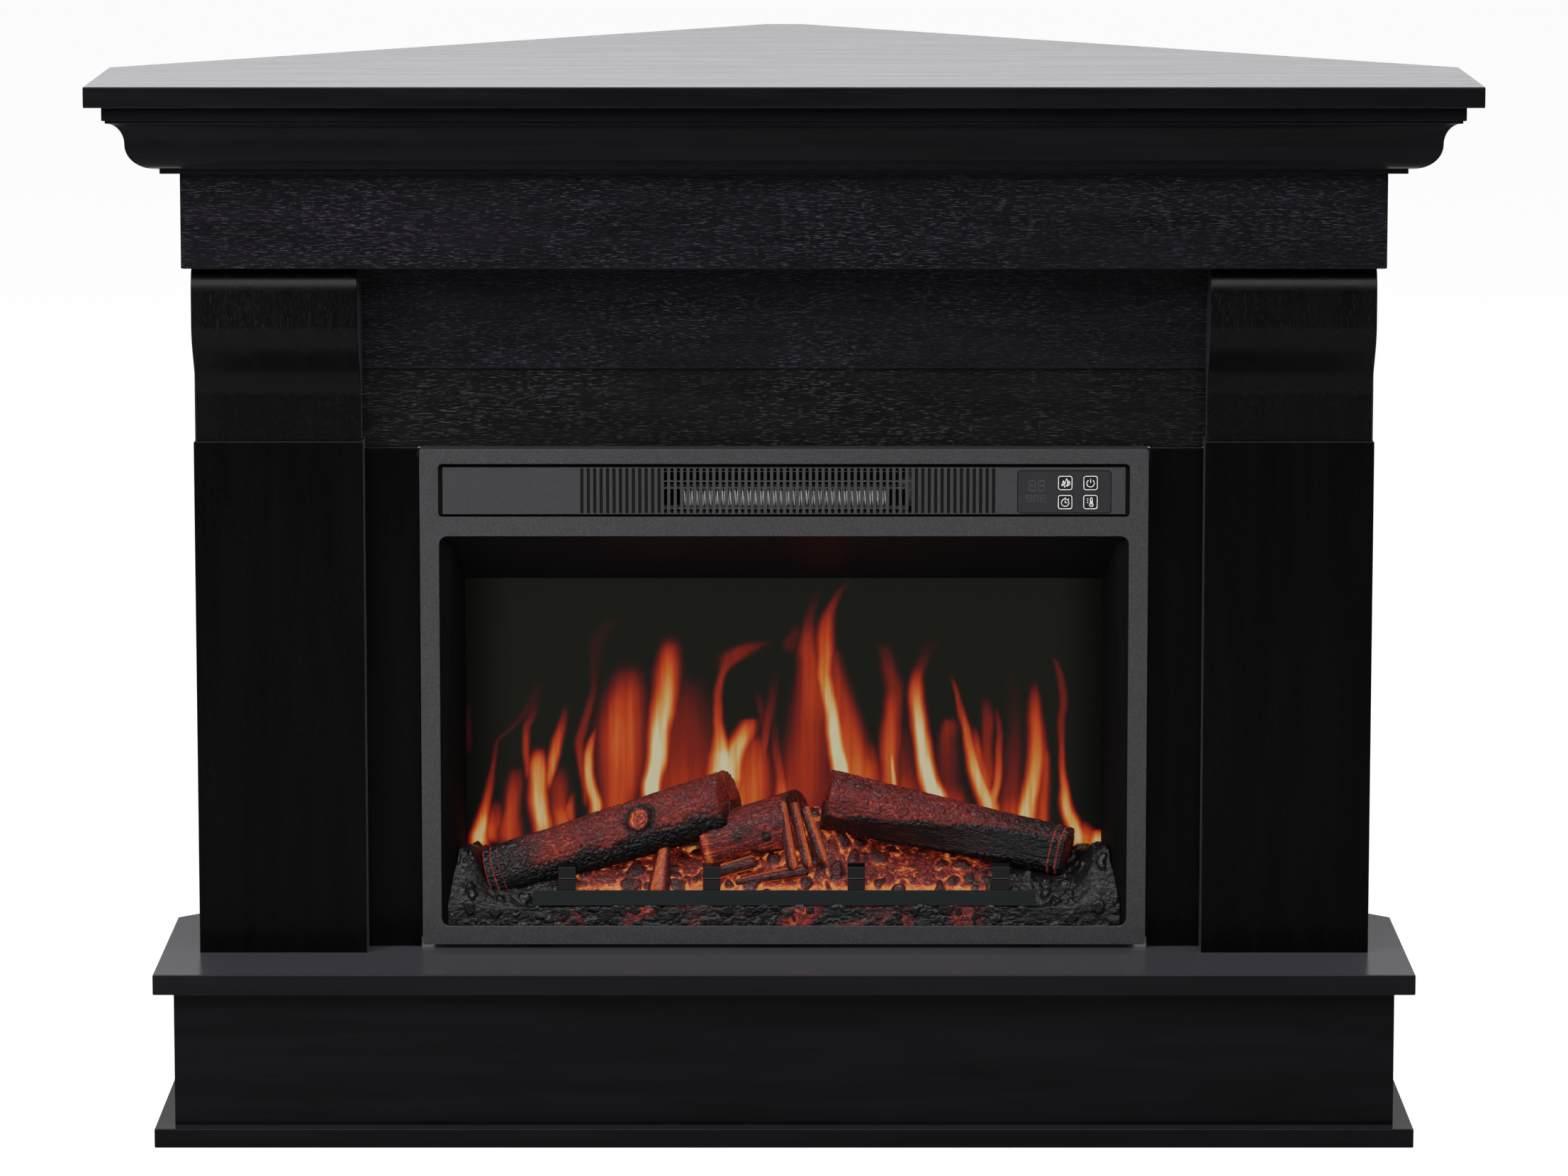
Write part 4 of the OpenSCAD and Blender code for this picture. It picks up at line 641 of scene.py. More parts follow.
# ---- Flame screen ----
# A translucent film on a clear sheet, lit from behind through the turning flicker rod.
# Each flame is a line of stations from its foot to its tip, in millimetres across and
# up, with its half width there and its heat, from 0, dark, to 1.1, white.
film_low, film_high = (Vector(corner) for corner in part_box("flame_screen"))
flames = [
    [(-301, 320, 4, 0.0), (-300, 350, 4, 0.20), (-300, 375, 3, 0.15), (-299, 396, 3, 0.0)],
    [(-291, 252, 8, 1.0), (-289, 264, 7, 0.95), (-286, 279, 6, 0.70), (-281, 301, 4.5, 0.48),
        (-276, 333, 2.6, 0.34), (-271, 348, 2.6, 0.26), (-260, 358, 3.6, 0.24),
        (-246, 374, 4.5, 0.22), (-236, 393, 6, 0.18), (-231, 416, 6, 0.0)],
    [(-279, 258, 8, 0.62), (-276, 268, 9, 0.55), (-274, 284, 6, 0.35), (-272, 300, 4, 0.0)],
    [(-261, 256, 12, 0.60), (-258, 285, 8, 0.55), (-256, 303, 8, 0.46), (-255, 316, 7, 0.32),
        (-254, 332, 6, 0.0)],
    [(-229, 262, 9, 0.88), (-231, 275, 9, 0.95), (-234, 300, 8.5, 0.93),
        (-234, 322, 7.5, 0.86), (-233, 334, 6, 0.60), (-232, 344, 5, 0.10)],
    [(-243, 318, 4, 0.50), (-245, 340, 4, 0.52), (-245, 357, 4, 0.44), (-241, 369, 5, 0.32),
        (-236, 386, 6, 0.16), (-233, 404, 6, 0.0)],
    [(-224, 300, 3, 0.45), (-221, 322, 5, 0.80), (-217, 338, 5.5, 0.72),
        (-213, 355, 5, 0.54), (-209, 371, 4, 0.34), (-206, 388, 3, 0.05)],
    [(-212, 268, 9, 0.66), (-214, 285, 9, 0.50), (-215, 305, 9, 0.42), (-214, 326, 7, 0.10)],
    [(-204, 276, 5, 0.62), (-203, 288, 4, 0.48), (-202, 301, 3, 0.12)],
    [(-179, 282, 6.5, 0.90), (-185, 305, 5.5, 0.90), (-187, 325, 5, 0.84),
        (-185, 343, 4, 0.66), (-180, 358, 2.5, 0.34), (-177, 368, 2, 0.05)],
    [(-188, 292, 4, 0.45), (-193, 318, 4, 0.50), (-195, 343, 4.5, 0.46),
        (-191, 360, 4.5, 0.42), (-185, 381, 4.5, 0.34), (-180, 402, 4.5, 0.24),
        (-180, 424, 6, 0.19), (-176, 446, 8, 0.18), (-165, 462, 8, 0.13),
        (-158, 474, 7, 0.0)],
    [(-158, 284, 17, 0.62), (-156, 310, 20, 0.64), (-155, 345, 22, 0.68),
        (-152, 376, 20, 0.62), (-149, 405, 16, 0.42), (-147, 442, 12, 0.0)],
    [(-126, 298, 9, 1.10), (-122, 325, 9.5, 1.08), (-118, 355, 10.5, 1.0),
        (-114, 382, 11.5, 0.88), (-111, 408, 11.5, 0.74), (-109, 430, 10, 0.56),
        (-108, 450, 9, 0.10)],
    [(-96, 296, 38, 0.52), (-95, 335, 34, 0.44), (-97, 385, 26, 0.32), (-99, 440, 16, 0.0)],
    [(-57, 305, 16, 1.0), (-57, 322, 15, 1.0), (-61, 342, 9, 0.84), (-63, 360, 5, 0.68),
        (-63.5, 383, 4, 0.54), (-61, 405, 4, 0.46), (-54, 421, 8, 0.42),
        (-41, 433, 14, 0.40), (-26, 442, 14, 0.20), (-16, 450, 10, 0.0)],
    [(-52, 312, 12, 0.98), (-47, 335, 12, 0.94), (-38, 353, 11, 0.80), (-33, 366, 9, 0.52),
        (-29, 376, 7, 0.0)],
    [(-33, 280, 21, 0.70), (-30, 312, 18, 0.66), (-28, 340, 12, 0.54), (-28, 358, 8, 0.10)],
    [(-19, 300, 4, 0.50), (-19, 330, 4, 0.52), (-17, 352, 4.5, 0.44), (-14, 374, 5, 0.34),
        (-11, 392, 5, 0.24), (-6, 418, 4, 0.04)],
    [(-19, 364, 4, 0.30), (-22, 380, 4, 0.27), (-24, 393, 4, 0.15), (-25, 403, 3, 0.0)],
    [(-2, 292, 8, 0.68), (-4, 312, 6, 0.54), (-7, 338, 5, 0.38), (-9, 362, 4, 0.20),
        (-10, 384, 4, 0.0)],
    [(14, 280, 30, 0.48), (20, 320, 24, 0.50), (24, 355, 20, 0.50), (26, 390, 16, 0.56),
        (25, 415, 11, 0.54), (23, 440, 8, 0.50), (25, 462, 6, 0.32), (30, 480, 5, 0.18),
        (37, 499, 4, 0.05)],
    [(54, 316, 8.5, 1.10), (50, 342, 8, 1.04), (46, 368, 8, 0.94), (41, 394, 8, 0.84),
        (38.5, 416, 8, 0.76), (38.5, 438, 8, 0.68), (40, 457, 7, 0.58), (45, 474, 5, 0.42),
        (52, 489, 4, 0.28), (60, 502, 3, 0.10)],
    [(68, 308, 22, 0.74), (64, 336, 17, 0.66), (58, 365, 15, 0.58), (52, 395, 12, 0.50),
        (46, 425, 9, 0.40), (43, 455, 7, 0.0)],
    [(80, 306, 11, 0.58), (82, 330, 8, 0.44), (82, 346, 6, 0.20), (82, 356, 5, 0.0)],
    [(8, 424, 6, 0.0), (7, 440, 8, 0.28), (12, 455, 6, 0.20), (14, 466, 5, 0.0)],
    [(105, 296, 3.5, 0.92), (104, 316, 3, 0.90), (103.5, 334, 2.5, 0.70),
        (103.5, 342, 2, 0.2)],
    [(101, 298, 10, 0.66), (101, 325, 9.5, 0.68), (102, 352, 9, 0.64), (104, 378, 8, 0.54),
        (105, 396, 8, 0.42), (100, 416, 8, 0.34), (96, 435, 7, 0.22), (91, 452, 5, 0.0)],
    [(145, 286, 11, 1.10), (137, 314, 9, 1.06), (131, 345, 7.5, 0.98), (127, 372, 7, 0.86),
        (124.5, 392, 6.5, 0.72), (125, 406, 6, 0.54), (131, 423, 7, 0.26),
        (140, 442, 8, 0.12), (146, 458, 7, 0.0)],
    [(118, 292, 14, 0.52), (116, 318, 11, 0.38), (114, 350, 9, 0.24), (113, 390, 8, 0.0)],
    [(160, 285, 13, 0.50), (156, 312, 12, 0.34), (155, 345, 9, 0.38), (157, 358, 8, 0.42),
        (158, 369, 7, 0.16), (158, 380, 6, 0.0)],
    [(195, 278, 9, 0.92), (187, 304, 7.5, 0.94), (180, 328, 6.5, 0.86), (173, 356, 4.5, 0.66),
        (168, 376, 3.2, 0.52), (163.5, 397, 2.6, 0.40), (159, 416, 2, 0.06)],
    [(190, 300, 9, 0.66), (185, 330, 8, 0.60), (180, 352, 6, 0.42), (177, 366, 5, 0.06)],
    [(197, 280, 5, 0.86), (202, 306, 4, 0.70), (205, 330, 3.4, 0.56), (205.5, 348, 3.2, 0.44),
        (203, 366, 3, 0.34), (200, 382, 3, 0.08)],
    [(195, 312, 7, 0.50), (194, 338, 6, 0.46), (193, 364, 6, 0.42), (191, 386, 5, 0.20),
        (190, 398, 5, 0.0)],
    [(216, 270, 13, 0.60), (216, 296, 11, 0.42), (218, 332, 9, 0.32), (219, 366, 8, 0.20),
        (216, 412, 8, 0.08), (214, 432, 7, 0.0)],
    [(230, 270, 10, 0.98), (236, 302, 9, 0.92), (240, 330, 8.5, 0.82), (240, 353, 8, 0.70),
        (238, 374, 7, 0.58), (237.5, 392, 5, 0.40), (238.5, 406, 3.5, 0.10)],
    [(246, 272, 7, 0.60), (248, 300, 6, 0.54), (249, 330, 4, 0.50), (247, 346, 3, 0.16)],
    [(280, 252, 8, 0.96), (276, 266, 7.5, 0.92), (270, 283, 6, 0.86), (267, 305, 4, 0.72),
        (263.5, 331, 3.2, 0.52), (263.5, 357, 3.6, 0.44), (265, 383, 4, 0.40),
        (264, 405, 3.6, 0.36), (260, 421, 2.6, 0.30), (256, 430, 2, 0.06)],
    [(288, 249, 12, 0.70), (288, 257, 11, 0.62), (285, 266, 7, 0.40), (282, 280, 5, 0.0)],
    [(299, 248, 8, 0.92), (299, 254, 7, 0.84), (298, 260, 6, 0.50), (297, 266, 5, 0.0)],
]
foot_fade, tip_fade = 12, 9
most_half, most_heat = 40.0 * mm, 1.2
film, film_shader, film_place = material("flame_film", Roughness=0.5)
film_shader.inputs["Specular IOR Level"].default_value = 0.02
film_shader.inputs["Base Color"].default_value = shade(0.0012, 0.0012, 0.0012)
film_shader.inputs["Emission Strength"].default_value = 1.0
sway = 3.5 * mm
wander = (fleck(film_place, (26, 26, 20)) - 0.5) * (2 * sway)
film_wide, film_tall = film_high.x - film_low.x, film_high.z - film_low.z
film_across = (film_place.part(0) + wander - film_low.x) / film_wide
film_up = (film_place.part(2) - film_low.z) / film_tall
fade_out, fade_in, joining = 1.9, 0.2, 0.06
heat = None
for stations in flames:
    foot, tip = stations[0], stations[-1]
    line, spread, glow = [], [], []
    for across, up, half, warmth in [(foot[0], foot[1] - foot_fade, foot[2], 0.0), *stations,
            (tip[0], tip[1] + tip_fade, tip[2], 0.0)]:
        height = (up * mm - film_low.z) / film_tall
        line.append((height, (across * mm - film_low.x) / film_wide))
        spread.append((height, half * mm / most_half))
        glow.append((height, warmth / most_heat))
    flame = film_up.node("ShaderNodeRGBCurve", {"curves": [line, spread, glow]},
        {"Color": film_up.node("ShaderNodeCombineXYZ", {}, {0: film_up, 1: film_up, 2: film_up})})
    aside = (film_across - flame.part(0)).maths("ABSOLUTE") * (film_wide / most_half)
    tongue = (aside / flame.part(1)).between(fade_out, fade_in) * flame.part(2)
    heat = tongue if heat is None else heat.maths("SMOOTH_MAX", tongue, joining)
blur_floor, heat_gain = 0.055, 1.24
heat = (heat - blur_floor) * heat_gain
ripple = fleck(film_place, (190, 190, 9), 3.0) * 0.50 + 0.75
flame_ramp = [(0.0, (0, 0, 0)), (0.12, (0.012, 0.0004, 0.001)), (0.24, (0.056, 0.001, 0.002)),
    (0.37, (0.155, 0.006, 0.002)), (0.49, (0.300, 0.019, 0.003)), (0.60, (0.405, 0.046, 0.006)),
    (0.72, (0.450, 0.118, 0.017)), (0.84, (0.470, 0.265, 0.075)), (0.97, (0.480, 0.440, 0.300))]
fire = heat.node("ShaderNodeValToRGB", {"stops": flame_ramp}, {"Fac": heat * ripple})
film_edge = 52 * mm
edge_dark, ground_dark = shade(0.0024, 0.0024, 0.0022), shade(0.0092, 0.0094, 0.0070)
from_side = film_wide / 2 - film_place.part(0).maths("ABSOLUTE")
ground = from_side.between(0.0, film_edge).mix(edge_dark, ground_dark)
drive(film_shader, "Emission Color", fire.node("ShaderNodeMix", {"data_type": "RGBA",
    "blend_type": "ADD"}, {0: 1.0, 6: fire, 7: ground}, output=2))
dress(film, "flame_screen")

# ---- Ember bed and middle log ----
# One thin moulding of tinted resin, lit from inside: a vertical front, a ledge for the
# grate and a slope of coals and charred sticks, with the middle log moulded on it. Places
# here and in the side logs are in millimetres.
noise.seed_set(11)


def smooth(value, low, high):
    """Rises smoothly from 0 to 1 while value goes from low to high."""
    share = min(1.0, max(0.0, (value - low) / (high - low)))
    return share * share * (3 - 2 * share)


def ringed(along, around):
    """A closed ball of rings, the layers that hold how red and how glowing each vertex
    is, and each vertex's share along it and round it."""
    mesh = bmesh.new()
    bmesh.ops.create_uvsphere(mesh, u_segments=around, v_segments=along, radius=1)
    for name in ("red", "glow"):
        mesh.verts.layers.float.new(name)
    layers = [mesh.verts.layers.float[name] for name in ("red", "glow")]
    shares = []
    for vert in mesh.verts:
        turn = math.atan2(vert.co.y, vert.co.x) / (2 * math.pi)
        shares.append((vert, math.acos(max(-1.0, min(1.0, vert.co.z))) / math.pi, turn % 1.0))
    return mesh, layers, shares


def wave(*place):
    """A smooth random value, from -1 to 1, at a place."""
    return noise.noise(Vector(place))


def bark(place, seed):
    """Height of wrinkled bark and how deep in a crack a place is, both from 0 to 1. The
    place is along the log, then across it both ways."""
    grain_long, grain_wide, bend, crack = 7.6, 3.2, 0.95, 0.11
    grain = Vector((place[0] / grain_long, place[1] / grain_wide, place[2] / grain_wide))
    grain += Vector((seed, 0, 0))
    bent = grain + noise.noise_vector(grain * 0.45) * bend
    ridge = abs(noise.noise(bent))
    coarse = wave(place[0] / 34, place[1] / 15, place[2] / 15 + seed)
    wrinkle = abs(noise.noise(bent * 1.9 + Vector((0, 0, 5))))
    depth = 1 - smooth(ridge, 0.0, crack)
    height = 0.20 + 0.80 * smooth(ridge, 0.0, 0.32) + 0.35 * coarse
    return height - 0.40 * (1 - smooth(wrinkle, 0.0, 0.16)), depth


def split_wood(place, seed):
    """The same for a split face: long shallow grooves along the grain."""
    groove = abs(wave(place[0] / 75, place[1] / 3.6, place[2] / 3.6 + seed))
    waves = wave(place[0] / 40, place[1] / 9, place[2] / 9 + seed)
    depth = 1 - smooth(groove, 0.0, 0.14)
    return 0.55 + 0.3 * waves - 0.35 * depth, depth


def log_on(low, high, low_r, high_r, look, along, around, cut=(0.0, 0.0), blunt=0.0):
    """A log between two places. Each end is a broken face, whose plane leans by a share
    of the log's width and which bulges by blunt radii; look(distance, angle, radius, rim)
    gives height, redness and glow."""
    mesh, (red_layer, glow_layer), shares = ringed(along, around)
    low, high = Vector(low), Vector(high)
    length = (high - low).length
    ahead = (high - low).normalized()
    front = ahead.cross(Vector((0, 0, 1))).normalized()
    if front.y > 0:
        front.negate()
    above = front.cross(ahead)
    if above.z < 0:
        above.negate()
    end_share = 0.09
    for vert, share, turn in shares:
        part = min(1.0, max(0.0, (share - end_share) / (1 - 2 * end_share)))
        rim = min(1.0, min(share, 1 - share) / end_share)
        radius = low_r + (high_r - low_r) * part
        angle = turn * 2 * math.pi
        out = front * math.cos(angle) + above * math.sin(angle)
        height, red, glow = look(part * length, angle, radius, rim)
        reach = radius * rim + (height if rim > 0.999 else height * rim * 0.6)
        lean = (cut[0] * (1 - part) + cut[1] * part) * math.cos(angle) * reach
        bulge = blunt * radius * math.sqrt(1 - rim * rim) + (height - 0.5) * (1 - rim) * 1.6
        facing = bulge if share > 0.5 else -bulge
        vert.co = (low + ahead * (part * length + lean + facing) + out * reach) * mm
        vert[red_layer], vert[glow_layer] = red, glow
    outward(mesh)
    return mesh


resin, resin_shader, resin_place = material("ember_resin", Specular_IOR_Level=0.32)
redness = resin_place.node("ShaderNodeAttribute", {"attribute_name": "red"}, {}, output=2)
glowing = resin_place.node("ShaderNodeAttribute", {"attribute_name": "glow"}, {}, output=2)
grit = fleck(resin_place, (900, 900, 900), 3.0)
soot = fleck(resin_place, (260, 260, 260), 3.0)
crinkle = (fleck(resin_place, (130, 330, 330), 3.0) - 0.5).maths("ABSOLUTE").between(0.0, 0.09)
crease = 1 - crinkle.between(0.0, 0.5)
charcoal, resin_red = shade(0.0045, 0.0045, 0.005), shade(0.060, 0.008, 0.008)
tinted = (redness * 1.15 + (soot - 0.5) * 1.1).between(0.25, 0.9)
drive(resin_shader, "Base Color", tinted.mix(charcoal, resin_red))
nugget = (redness * -1).between(0.0, 0.3)
drive(resin_shader, "Roughness", grit * 0.30 + 0.20 - nugget * 0.16)
relief(resin_shader, crinkle * (redness * 0.7 + 0.4) + grit * 0.4 + soot, 0.75, 0.8 * mm)
lit_ramp = [(0.0, (0, 0, 0)), (0.18, (0.028, 0.003, 0.003)), (0.38, (0.130, 0.010, 0.005)),
    (0.58, (0.270, 0.038, 0.008)), (0.78, (0.400, 0.105, 0.018)), (0.95, (0.480, 0.200, 0.045))]
shine = glowing + redness * 0.11 + (soot - 0.5) * 0.55 * redness + crease * redness * 0.20
drive(resin_shader, "Emission Color",
    shine.node("ShaderNodeValToRGB", {"stops": lit_ramp}, {"Fac": shine}))
resin_shader.inputs["Emission Strength"].default_value = 1.0

bed_front, bed_back = -282.0, -196.5
bed_foot, bed_ledge, bed_top = 173.5, 203.0, 247.0
ledge_back = -270.0
bed_half_front, bed_half_bend, bed_half_back = 317.3, 308.0, 300.5
bed_bend = -268.0
bed_inset, bed_swell, swell_bias = 2.4, 13.0, 0.62
bed_centre = Vector((-235.0, 195.0))
bed_corners = [(bed_front, bed_foot), (bed_front, bed_ledge), (ledge_back, bed_ledge),
    (bed_back, bed_top), (bed_back, bed_foot), (bed_front, bed_foot)]
heap_near = [(bed_front, bed_foot), (bed_front, bed_ledge), (-268.0, 215.0), (-250.0, 226.0),
    (bed_back, bed_top)]
heap_end = [(bed_front, bed_foot), (bed_front, bed_ledge), (-272.0, 238.0), (-262.0, 255.0),
    (-244.0, 258.0), (bed_back, bed_top)]
seen_share = 0.84


def side_lengths(corners):
    """How long each side of a bent line is."""
    return [math.dist(a, b) for a, b in zip(corners, corners[1:])]


def along_line(corners, run):
    """The place, deep and up, at a distance along a bent line."""
    for start, end, side in zip(corners, corners[1:], side_lengths(corners)):
        if run <= side:
            return Vector(start).lerp(Vector(end), run / side)
        run -= side
    return Vector(corners[-1])


bed_runs = side_lengths(bed_corners)
seen_run, whole_run = sum(bed_runs[:3]), sum(bed_runs)
heaps = [(heap, sum(side_lengths(heap)), low, high)
    for heap, low, high in ((heap_near, 236, 262), (heap_end, 268, 296))]


def bed_outline(run, across=0.0):
    """A place on the bed's outline; near its ends the embers are heaped up."""
    run %= whole_run
    here = along_line(bed_corners, run)
    if run < seen_run:
        for heap, long, low, high in heaps:
            share = smooth(abs(across), low, high)
            if share > 0:
                here = here.lerp(along_line(heap, run / seen_run * long), share)
    return here


def bed_half(deep):
    """Half the bed's width at a depth: the cheeks close in towards the screen."""
    if deep < bed_bend:
        near = (deep - bed_front) / (bed_bend - bed_front)
        return bed_half_front + (bed_half_bend - bed_half_front) * near
    far = (deep - bed_bend) / (bed_back - bed_bend)
    return bed_half_bend + (bed_half_back - bed_half_bend) * far


coal_pitch, chip_pitch = 22.0, 13.5
lit_middle, lit_reach, dark_reach = -4, 165, 225
charred_from, charred_to = 205, 240
rail_hides, rail_clear, foot_glow = 12, 17, 24


def lump(across, run, pitch, level):
    """How high on a lump a place is, how near its rim, both from 0 to 1, and its number."""
    spot = Vector((across / pitch, run * 0.9 / pitch, level))
    spot += noise.noise_vector(spot * 1.7) * 0.16
    distances, cells = noise.voronoi(spot)
    own = abs(noise.cell(cells[0] * 9.3))
    size = 0.32 + 0.16 * own
    far = distances[0] * (1 + 0.35 * noise.noise(spot * 3.1))
    rise = max(0.0, 1 - (far / size) ** 2)
    return rise, math.exp(-((far - size * 1.08) / 0.075) ** 2), own


def coals(across, run):
    """Height, redness and glow of the bed at a place on its surface."""
    ledge = bed_runs[0]

    # coals on the slope, and smaller chips on the front and at the ends
    away = smooth(abs(across), charred_from, charred_to)
    on_front = max(1 - smooth(run, ledge - 2, ledge + 5), away)
    coal, coal_rim, own = lump(across, run, coal_pitch, 2.6)
    chip, chip_rim, chip_own = lump(across + 40, run, chip_pitch, 6.1)
    coal = coal * (1 - on_front) + chip * on_front
    rim = coal_rim * (1 - on_front) + chip_rim * on_front
    small = chip * (chip_own > 0.7) * (1 - on_front) * (1 - smooth(coal, 0.0, 0.1))
    rough = noise.fractal(Vector((across / 4.2, run / 4.2, 0)), 0.6, 2.2, 3)
    bent = Vector((across / 8.0, run / 5.0, 9.1))
    bent += noise.noise_vector(bent * 0.7) * 1.1
    wrinkles = abs(noise.noise(bent))
    ground = 1 - smooth(max(coal, small * 0.8), 0.0, 0.2)
    middle = 1 - smooth(abs(across - lit_middle), lit_reach, dark_reach)
    ridges = 0.45 * math.cos(13 * coal + 5 * own) * smooth(coal, 0.05, 0.3)
    height = 5.2 * coal ** 0.6 + 2.4 * small ** 0.6 + ridges + 0.6 * rough
    height += 1.2 * smooth(wrinkles, 0.0, 0.3) * ground * (1 - 0.5 * away)

    # a glowing net round the coals above the grate rail, brightest along its foot
    above_rail = smooth(run, ledge + rail_hides, ledge + rail_clear)
    vein = 1 - smooth(wrinkles, 0.0, 0.15)
    patch = wave(across / 38, run / 26, 4.0)
    broken = smooth(wave(across / 10, run / 8, 14.0), -0.25, 0.35)
    warm = middle * (0.72 + 0.5 * patch)
    lowest = math.exp(-((run - ledge - foot_glow) / 4.0) ** 2) * ground
    glow = warm * (0.03 * ground + 0.90 * rim * (0.4 + 0.6 * broken) + 1.05 * vein * ground
        * (0.4 + 0.6 * broken)) * above_rail
    glow += middle * lowest * 0.65 * above_rail

    # a few glowing streaks on the front, below the rail
    streak = smooth(patch, -0.15, 0.35) * middle * (1 - above_rail)
    glow += streak * ground * (0.34 * rim + 0.36 * vein)
    red = middle * above_rail * (ground * 0.44 + 0.40 + 0.2 * broken) + streak * ground * 0.8
    return height, min(1.0, red) - 0.35 * coal * (1 - middle * above_rail), glow


heap_middle, heap_reach, heap_rise = 30.0, 42.0, 38.0


def heap_between(across, here):
    """How far the embers are heaped up between the middle log and the right one."""
    side = math.exp(-((across - heap_middle) / heap_reach) ** 2)
    return heap_rise * side * smooth(here.x, -262, -212) * smooth(here.y, 200, 236)


bed, (bed_red, bed_glow), bed_shares = ringed(560, 148)
bed_end, corner_radius = 0.02, 3.0
for vert, share, turn in bed_shares:
    if turn < seen_share:
        run = turn / seen_share * seen_run
    else:
        run = seen_run + (turn - seen_share) / (1 - seen_share) * (whole_run - seen_run)
    part = min(1.0, max(0.0, (share - bed_end) / (1 - 2 * bed_end)))
    rim = min(1.0, min(share, 1 - share) / bed_end)
    across = (2 * part - 1) * bed_half(bed_outline(run).x)
    before = bed_outline(run - corner_radius, across)
    after = bed_outline(run + corner_radius, across)
    here = (before + after + bed_outline(run, across) * 2) / 4
    facing = Vector((before.y - after.y, after.x - before.x)).normalized()
    across = (2 * part - 1) * bed_half(here.x)
    height, red, glow = coals(across, run) if run < seen_run else (0.0, 0.2, 0.0)
    edge = smooth(min(share, 1 - share), 0.0, bed_end * 1.6)
    slope = (run - bed_runs[0] - bed_runs[1]) / bed_runs[2]
    swell = bed_swell * math.sin(math.pi * slope ** swell_bias) if 0 < slope < 1 else 0.0
    swell *= 1 - smooth(abs(across), 230, 260)
    here += facing * ((height - bed_inset + swell) * edge)
    here.y += heap_between(across, here)
    here.x = max(here.x, bed_front + 0.1)
    here = bed_centre.lerp(here, rim)
    vert.co = Vector((across, here.x, here.y)) * mm
    vert[bed_red], vert[bed_glow] = red, glow * edge
outward(bed)

middle_low, middle_high = (-80, -233, 254), (13, -229, 278)
middle_low_r, middle_r = 21.0, 26.5


def middle_look(distance, angle, radius, rim):
    around = (distance, radius * math.cos(angle), radius * math.sin(angle))
    height, depth = split_wood(around, 5.0)
    knobs, crack = bark(around, 21.0)
    lower = smooth(math.sin(angle), -0.10, -0.45)
    end = 1 - rim
    soot = smooth(wave(distance / 16, angle * 1.3, 8.0), 0.05, 0.35)
    soot = max(soot * (1 - smooth(math.sin(angle), 0.1, 0.6)), smooth(distance, 88, 104)
        * smooth(math.sin(angle), 0.2, 0.7))
    red = 0.75 * (1 - 0.85 * soot) * (1 - 0.35 * end)
    glow = (0.34 * depth + 0.30 * crack * lower) * (1 - 0.7 * soot)
    staves = abs(math.sin(math.cos(angle) * radius * rim * 0.42 + 0.6))
    glow = glow * (1 - end) + end * (0.72 * smooth(staves, 0.55, 0.15)) * (distance > 60)
    glow += 0.5 * math.exp(-((distance - 4) / 3.5) ** 2) * (1 - end)
    tall = height * 2.0 + knobs * 0.8 - 1.2
    return tall * (1 - end) + end * staves * 1.5, red, glow


def joined(mesh, other):
    """Adds another mesh to a mesh, its painted layers with it."""
    data = bpy.data.meshes.new("part")
    other.to_mesh(data)
    other.free()
    mesh.from_mesh(data)
    bpy.data.meshes.remove(data)


middle_log = log_on(middle_low, middle_high, middle_low_r, middle_r, middle_look, 190, 150,
    (0.1, -0.5))


def stick_look(seed):
    """The look of a charred stick, its edges glowing where it lies on the coals."""
    def look(distance, angle, radius, rim):
        around = (distance, radius * math.cos(angle) * 2, radius * math.sin(angle) * 2)
        height, depth = split_wood(around, seed)
        under = smooth(abs(math.sin(angle)), 0.55, 0.95)
        return height * 1.6 - 0.7, 0.42 + 0.4 * depth, 0.55 * under ** 2 + 0.08 * depth
    return look


# Each stick's two ends, and its radius at each.
sticks = [
    ((-44, -260, 222), (20, -258, 233), 3.4, 6.0),
    ((-2, -246, 294), (8, -262, 238), 4.6, 5.2),
    ((9, -244, 293), (22, -261, 240), 4.4, 5.0),
    ((20, -240, 288), (36, -257, 244), 4.6, 5.6),
    ((-113, -244, 252), (-118, -263, 214), 6.0, 11.0),
    ((-74, -256, 228), (-30, -252, 240), 5.4, 6.6),
]
for number, (start, end, start_r, end_r) in enumerate(sticks):
    stick = log_on(start, end, start_r, end_r, stick_look(30.0 + number), 70, 30, blunt=0.7)
    joined(middle_log, stick)
for name, mesh in (("ember_bed_moulding", bed), ("middle_log_moulding", middle_log)):
    piece(name, mesh, resin, replaced=("ember_bed",)).data.shade_smooth()

# ---- Side logs ----
# Two moulded resin logs that lean on the ember bed and the middle log: burnt bark that
# glows on top, and charcoal below and at the outer ends.
knot_place, knot_angle, knot_r = 157.0, 0.52, 10.5


def patches(distance, angle, seed):
    """How strongly bark is burnt, which changes from place to place."""
    return 0.74 + 0.3 * wave(distance / 30, angle * 1.5, seed)


def bands(distance):
    """Glowing rings round a log's outer end."""
    return smooth(math.cos(distance * 0.85), 0.55, 0.95)


def end_stripes(angle, radius, rim):
    """Glowing lines across a log's broken end."""
    return smooth(abs(math.sin(math.cos(angle) * radius * rim * 0.8)), 0.35, 0.0)


